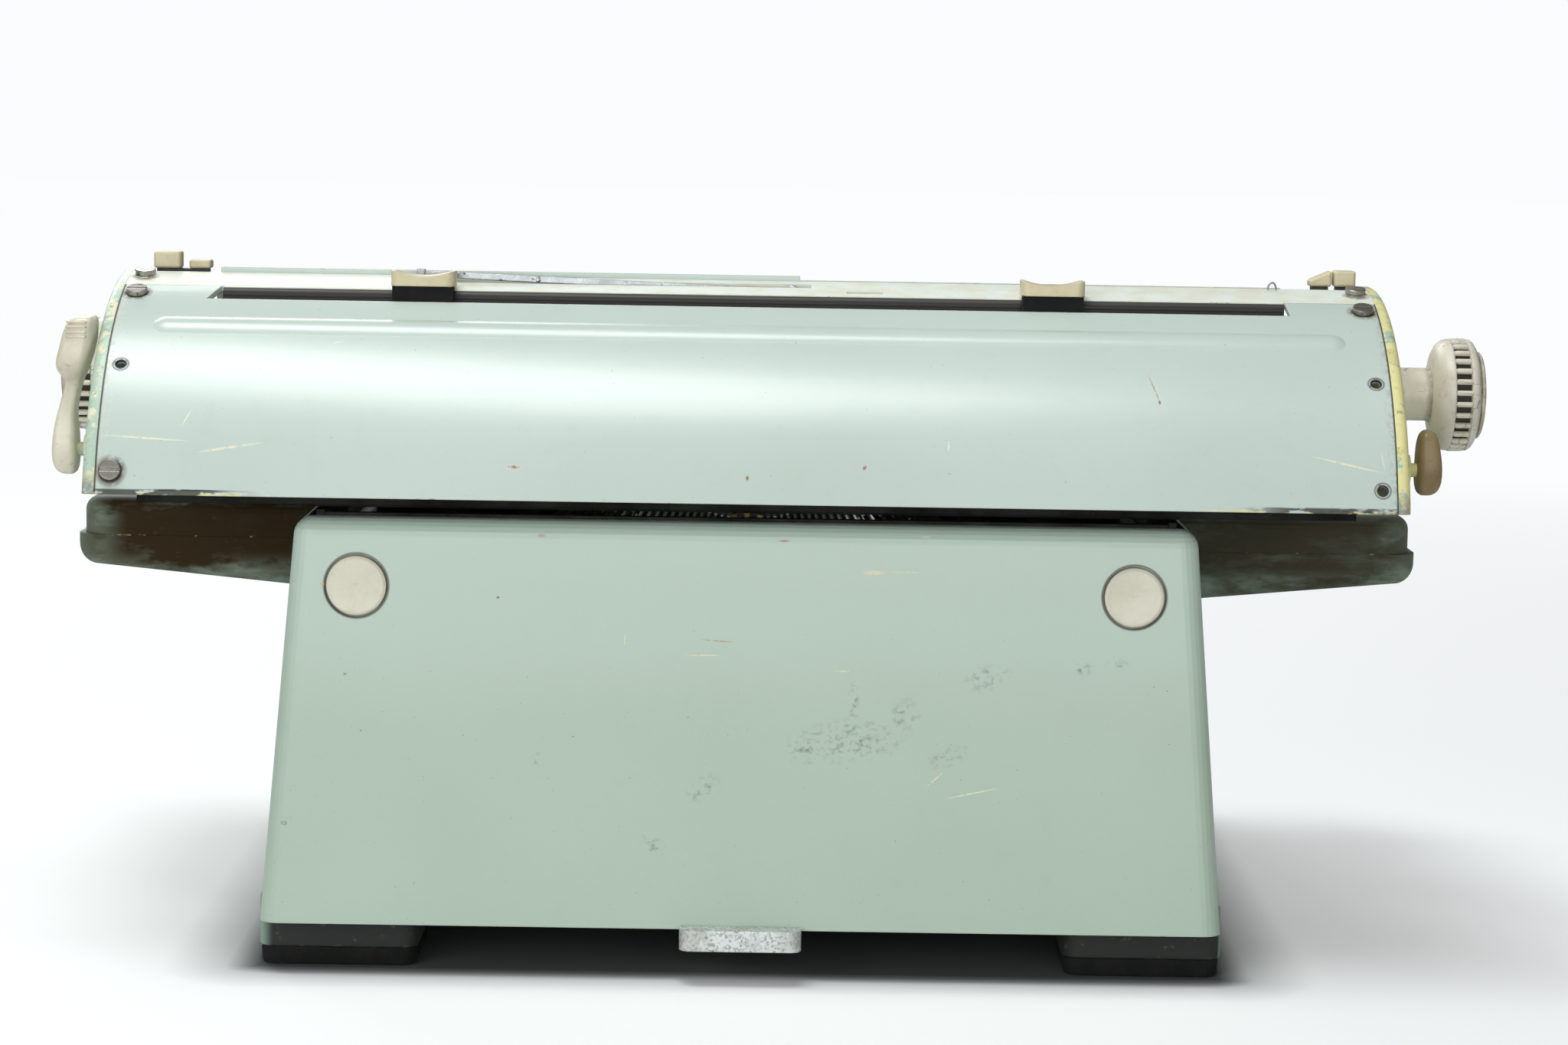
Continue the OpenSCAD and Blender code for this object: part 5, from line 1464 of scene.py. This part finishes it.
@dataclass
class Carriage(SubAssembly):
    """The moving carriage: frame, curved cover, caps, platen, knobs, rollers, bail, stops and levers."""

    nodes: dict[str, Finish] = field(default_factory=lambda: {
        "carriage_frame": Finish.OILED, "rear_cover": Finish.PALE, "end_cap_left": Finish.CAP_LEFT,
        "end_cap_right": Finish.CAP_RIGHT, "cover_screws": Finish.SCREW, "paper_table": Finish.PALE,
        "margin_rail": Finish.STRIP})
    top_z: float = 245.5
    stop_key_z: float = 241.9
    roller_spots: tuple[float, ...] = (-150.0, -75.0, 0.0, 75.0, 150.0)
    tick_pitch: float = 2.54
    tick_z: float = 238.0
    ticks: int = 60
    long_tick: float = 1.7
    table_foot: tuple[float, float] = (102.6, 181.0)
    table_lean: float = 0.7 / 65.5
    # painted shade: dark blocks under the slot's ends stand for the shade there
    felt: Point = (189.5, 115.0, 227.0)
    slot_block_half: tuple[float, float] = (4.5, 2.2)
    loop: Point = (-191.0, 107.0, 244.5)
    loop_half: tuple[float, float] = (1.5, 2.6)
    wire_r: float = 0.36

    def make_pieces(self) -> None:
        """Replaces what has two finishes or a fuller shape."""
        def beyond(axis: tuple[float, float], radius: float, middles: tuple[float, ...], half: float) -> Rule:
            """Rule for the faces of sleeves on a rod: further out than a radius, near one of the middles."""
            return lambda at, low, high: math.hypot(at.y - axis[0], at.z - axis[1]) > radius and any(
                abs(at.x - x) < half + 0.05 for x in middles)

        sleeves = {"platen": ("platen_roll", PLATEN, 4.6, (0.0,), 204.0, Finish.CHROME),
                   "feed_roller_front": ("feed_front", (64.77, 184.8), 2.3, self.roller_spots, 22.0, Finish.LEVER),
                   "feed_roller_rear": ("feed_rear", (95.23, 184.8), 2.3, self.roller_spots, 22.0, Finish.LEVER),
                   "paper_bail": ("bail", (56.16, 216.12), 2.3, (-120.0, -40.0, 40.0, 120.0), 5.0, Finish.CHROME)}
        for node, (body, axis, radius, middles, half, steel) in sleeves.items():
            rubber = beyond(axis, radius, middles, half)
            self.shop.split(node, body, {
                f"{node}_rubber": (Finish.RUBBER, rubber, 0.4),
                f"{node}_steel": (steel, lambda at, low, high, rubber=rubber: not rubber(at, low, high), 0.0)})
        Knob(self.shop, Side.LEFT, -KNOB_FACES[0]).make("platen_roll", "knob_left")
        Knob(self.shop, Side.RIGHT, KNOB_FACES[1]).make("platen_roll", "knob_right")
        ReleaseLever(self.shop, Side.RIGHT, Finish.LEVER_CREAM).make("release_right", "release_lever_right")
        ReleaseLever(self.shop, Side.LEFT, Finish.LEVER_TAN, short=True).make("release_left", "release_lever_left")
        self.make_keys()
        self.shop.split("paper_support", "support", {"folding_support": (Finish.CHROME, whole, 0.25)})
        self.shop.split("return_lever", "line_lever", {"line_space_lever": (Finish.CHROME, whole, 0.6)})
        self.make_scale()
        self.make_wire_loop()
        self.make_slot_shade_blocks()

    def make_slot_shade_blocks(self) -> None:
        """Sets a dark block under each end of the slot as painted shade, which closes part of the gap there."""
        x, y, foot = self.felt
        half_x, half_y = self.slot_block_half
        shade_blocks = [lofted("felt", [
            rounded((side * x, y, foot + up), (1, 0, 0), (0, 1, 0), half_x - inset, half_y - inset, 1.6 - inset)
            for up, inset in ((0.0, 0.8), (0.6, 0.1), (12.4, 0.1), (13.0, 0.8))]) for side in (-1, 1)]
        self.shop.hang(joined("slot_end_felts", shade_blocks), Finish.RUBBER, "carriage")

    def make_keys(self) -> None:
        """Parts the cream tops of the stops and small keys from their black steel."""
        for node, body in (("margin_stop_left", "stop_left"), ("margin_stop_right", "stop_right")):
            self.shop.split(node, body, {
                f"{body}_top": (Finish.AGED, lambda at, low, high: at.z > self.stop_key_z, 0.7),
                f"{body}_foot": (Finish.RUBBER, lambda at, low, high: at.z <= self.stop_key_z, 0.3)})
        for node, body in (("paper_release_lever", "paper_release"), ("line_space_selector", "line_selector"),
                           ("ratchet_release_lever", "ratchet_release")):
            self.shop.split(node, body, {
                f"{body}_top": (Finish.AGED, lambda at, low, high: low.z > self.top_z - 0.2, 0.8),
                f"{body}_stem": (Finish.BLACK, lambda at, low, high: low.z <= self.top_z - 0.2, 0.2)})

    def make_scale(self) -> None:
        """Engraves the typist's scale near the top of the paper table, ten marks to the inch."""
        def spot(k: int) -> Point:
            """Middle of one mark, 0.02 mm proud of the table's leaning front face."""
            y = self.table_foot[0] - self.table_lean * (self.tick_z - self.table_foot[1])
            return (k * self.tick_pitch, y - 0.02, self.tick_z)

        numbers = range(-self.ticks, self.ticks + 1)
        for name, chosen, size in (("scale_marks", [k for k in numbers if k % 10], 1.0),
                                   ("scale_long_marks", [k for k in numbers if not k % 10], self.long_tick)):
            small = lofted("mark_pattern", [
                rounded((0, 0, z), (1, 0, 0), (0, 1, 0), w, 0.06, 0.03, 2)
                for z, w in ((-1.3, 0.1), (-1.2, 0.16), (1.2, 0.16), (1.3, 0.1))], placed=False)
            places = [Place(spot(k), (0.0, 0.0, 0.0), (1.0, 1.0, size)) for k in chosen]
            marks = self.shop.copier.run(name, small, places, self.shop.of(Finish.LEGEND))
            self.shop.hang(marks, Finish.LEGEND, "carriage")

    def make_wire_loop(self) -> None:
        """Bends the small wire loop that stands beside the left margin keys."""
        steps, deep = 24, Vector((0, 1, 0))
        x, y, z = self.loop
        turns = [math.pi * k / steps for k in range(steps + 1)]
        line = [Vector((x + self.loop_half[0] * math.cos(a), y, z + self.loop_half[1] * math.sin(a))) for a in turns]
        rings = []
        for k, p in enumerate(line):
            way = (line[min(k + 1, steps)] - line[max(k - 1, 0)]).normalized()
            side = way.cross(deep)
            rings.append([p + (side * math.cos(b) + deep * math.sin(b)) * self.wire_r
                          for b in (2 * math.pi * i / 10 for i in range(10))])
        self.shop.hang(lofted("wire_loop", rings), Finish.LEVER, "carriage")


@dataclass(frozen=True)
class Lamp:
    """A soft box: where it hangs and what it points at, its width and height, all in metres, and its watts."""

    name: str
    place: Point
    aim: Point
    size: tuple[float, float]
    power: float

    def hang(self) -> None:
        """Hangs the box in the scene."""
        data = bpy.data.lights.new(self.name, "AREA")
        data.shape = "RECTANGLE"
        data.size, data.size_y = self.size
        data.energy = self.power
        data.color = linear("#fbfdff")[:3]
        lamp = put(self.name, data)
        lamp.location = self.place
        lamp.rotation_euler = (Vector(self.aim) - Vector(self.place)).to_track_quat("-Z", "Y").to_euler()


@dataclass
class Studio:
    """A plain pale floor, soft lamps and the camera at the photograph's angle."""

    floor_half: float = 12.0
    world_light: float = 0.25
    glow: float = 0.33
    glow_ramp: float = 0.03
    footprint_middle: Point = (DATUM / 1000, -0.012, 0.0)
    footprint_half: Point = (0.172, 0.178, 0.0)
    paper: str = "#d8dad9"
    # painted shadow: the floor's tone under the object's footprint
    painted_shadow_tone: str = "#4a4c4c"
    far_white: str = "#fbfdfe"
    glow_from: float = 0.005
    painted_shadow_ramp: tuple[float, float] = (-0.002, 0.012)
    far_ramp: tuple[float, float] = (0.25, 1.6)
    camera_place: Point = (4.25, 1490.0, 309.9)
    yaw: float = 0.353
    pitch: float = 6.358
    roll: float = -0.948
    lens: float = 86.57
    sensor: float = 36.0
    clip_end: float = 60.0
    lamps: tuple[Lamp, ...] = (
        Lamp("overhead_box", (0.31, 0.42, 1.7), (0.0, 0.1, 0.15), (1.1, 0.5), 16.8),
        Lamp("camera_left_box", (1.5, 2.2, 0.8), (0.0, 0.1, 0.1), (1.4, 1.2), 14.9),
        Lamp("camera_low_box", (0.0, 2.6, 0.5), (0.0, 0.1, 0.1), (2.0, 0.9), 18.0),
        Lamp("typist_side_box", (0.8, -1.6, 1.2), (0.0, 0.0, 0.12), (1.3, 1.0), 16.8))

    def build(self) -> None:
        """Makes the floor, the world, the lamps and the camera, and sets the view."""
        self.make_floor()
        self.make_world()
        for lamp in self.lamps:
            lamp.hang()
        self.make_camera()
        bpy.context.scene.view_settings.view_transform = "Standard"

    def make_floor(self) -> None:
        """Lays the floor.

        The camera sees it nearly white from a glow that is held back near the footprint, leaving a painted contact
        shadow round it, with the object's cast shadow kept, and a painted shadow tone under the object's footprint.
        """
        mesh = bpy.data.meshes.new("floor")
        r = self.floor_half
        mesh.from_pydata([(-r, -r, 0), (r, -r, 0), (r, r, 0), (-r, r, 0)], [], [(0, 1, 2, 3)])
        floor = put("floor", mesh)
        material = bpy.data.materials.new("white_studio_paper")
        material.use_nodes = True
        tree = material.node_tree
        tree.nodes.clear()
        paper = add(tree, "ShaderNodeBsdfDiffuse", {"Color": linear(self.paper)})
        found = add(tree, "ShaderNodeTexCoord").outputs["Object"]
        for operation, other in (("SUBTRACT", self.footprint_middle), ("ABSOLUTE", None),
                                 ("SUBTRACT", self.footprint_half), ("MAXIMUM", (0.0, 0.0, 0.0))):
            inputs = {0: found} if other is None else {0: found, 1: other}
            found = add(tree, "ShaderNodeVectorMath", inputs, operation=operation).outputs[0]
        reach = add(tree, "ShaderNodeVectorMath", {0: found}, operation="LENGTH").outputs["Value"]
        # painted shadow: the glow begins only glow_from past the footprint and ramps up over glow_ramp, leaving a
        # contact shadow next to it
        inputs = {0: reach, 1: self.glow_from, 2: self.glow_from + self.glow_ramp, 3: 0.0, 4: self.glow}
        clear = add(tree, "ShaderNodeMapRange", inputs).outputs[0]
        glow = add(tree, "ShaderNodeEmission", {"Color": (1, 1, 1, 1), "Strength": clear})
        # painted shadow: the floor's colour darkens to a dark tone under the object's footprint
        inputs = {0: reach, 1: self.painted_shadow_ramp[0], 2: self.painted_shadow_ramp[1], 3: 0.0, 4: 1.0}
        painted_shadow_share = add(tree, "ShaderNodeMapRange", inputs).outputs[0]
        inputs = {0: painted_shadow_share, 6: linear(self.painted_shadow_tone), 7: linear(self.paper)}
        tone = add(tree, "ShaderNodeMix", inputs, data_type="RGBA").outputs[2]
        shaded = add(tree, "ShaderNodeBsdfDiffuse", {"Color": tone})
        lifted = add(tree, "ShaderNodeAddShader", {0: shaded.outputs[0], 1: glow.outputs[0]})
        far = add(tree, "ShaderNodeEmission", {"Color": linear(self.far_white), "Strength": 1.0})
        inputs = {0: reach, 1: self.far_ramp[0], 2: self.far_ramp[1], 3: 0.0, 4: 1.0}
        away = add(tree, "ShaderNodeMapRange", inputs).outputs[0]
        seen = add(tree, "ShaderNodeMixShader", {0: away, 1: lifted.outputs[0], 2: far.outputs[0]})
        ray = add(tree, "ShaderNodeLightPath").outputs["Is Camera Ray"]
        both = add(tree, "ShaderNodeMixShader", {0: ray, 1: paper.outputs[0], 2: seen.outputs[0]})
        add(tree, "ShaderNodeOutputMaterial", {0: both.outputs[0]})
        mesh.materials.append(material)

    def make_world(self) -> None:
        """Makes the even light from all round and the white background."""
        world = bpy.data.worlds.new("studio")
        bpy.context.scene.world = world
        world.use_nodes = True
        tree = world.node_tree
        tree.nodes.clear()
        path = add(tree, "ShaderNodeLightPath")
        shown = add(tree, "ShaderNodeMath", {0: path.outputs["Is Camera Ray"], 1: path.outputs["Is Transmission Ray"]},
                    operation="MAXIMUM").outputs[0]
        around = add(tree, "ShaderNodeBackground", {0: linear("#f4f8fa"), 1: self.world_light})
        white = add(tree, "ShaderNodeBackground", {0: linear("#fafcfe"), 1: 1.0})
        mixed = add(tree, "ShaderNodeMixShader", {0: shown, 1: around.outputs[0], 2: white.outputs[0]})
        add(tree, "ShaderNodeOutputWorld", {0: mixed.outputs[0]})

    def make_camera(self) -> None:
        """Sets the camera that was fitted to the photograph."""
        yaw, pitch, roll = (math.radians(a) for a in (self.yaw, self.pitch, self.roll))
        ahead = Vector((-math.sin(yaw) * math.cos(pitch), -math.cos(yaw) * math.cos(pitch), -math.sin(pitch)))
        right = Vector((-math.cos(yaw), math.sin(yaw), 0.0))
        up = right.cross(ahead)
        tilted_right = right * math.cos(roll) - up * math.sin(roll)
        tilted_up = right * math.sin(roll) + up * math.cos(roll)
        data = bpy.data.cameras.new("photo_camera")
        data.sensor_width = self.sensor
        data.sensor_fit = "HORIZONTAL"
        data.lens = self.lens
        data.clip_end = self.clip_end
        camera = put("photo_camera", data)
        turn = Matrix((tilted_right, tilted_up, -ahead)).transposed()
        camera.matrix_world = Matrix.Translation(Vector(self.camera_place) / 1000) @ turn.to_4x4()
        bpy.context.scene.camera = camera


def main() -> None:
    """Builds every sub-assembly in order."""
    logging.basicConfig(level=logging.INFO, format="%(name)s: %(message)s")
    Studio().build()
    shop = Paintshop()
    for part in (Housing(shop), Frame(shop), Keyboard(shop), TypeBasket(shop), Carriage(shop)):
        part.build()
        log.info("%s: %d CAD nodes dressed", type(part).__name__, len(part.nodes))


if __name__ == "__main__":
    main()
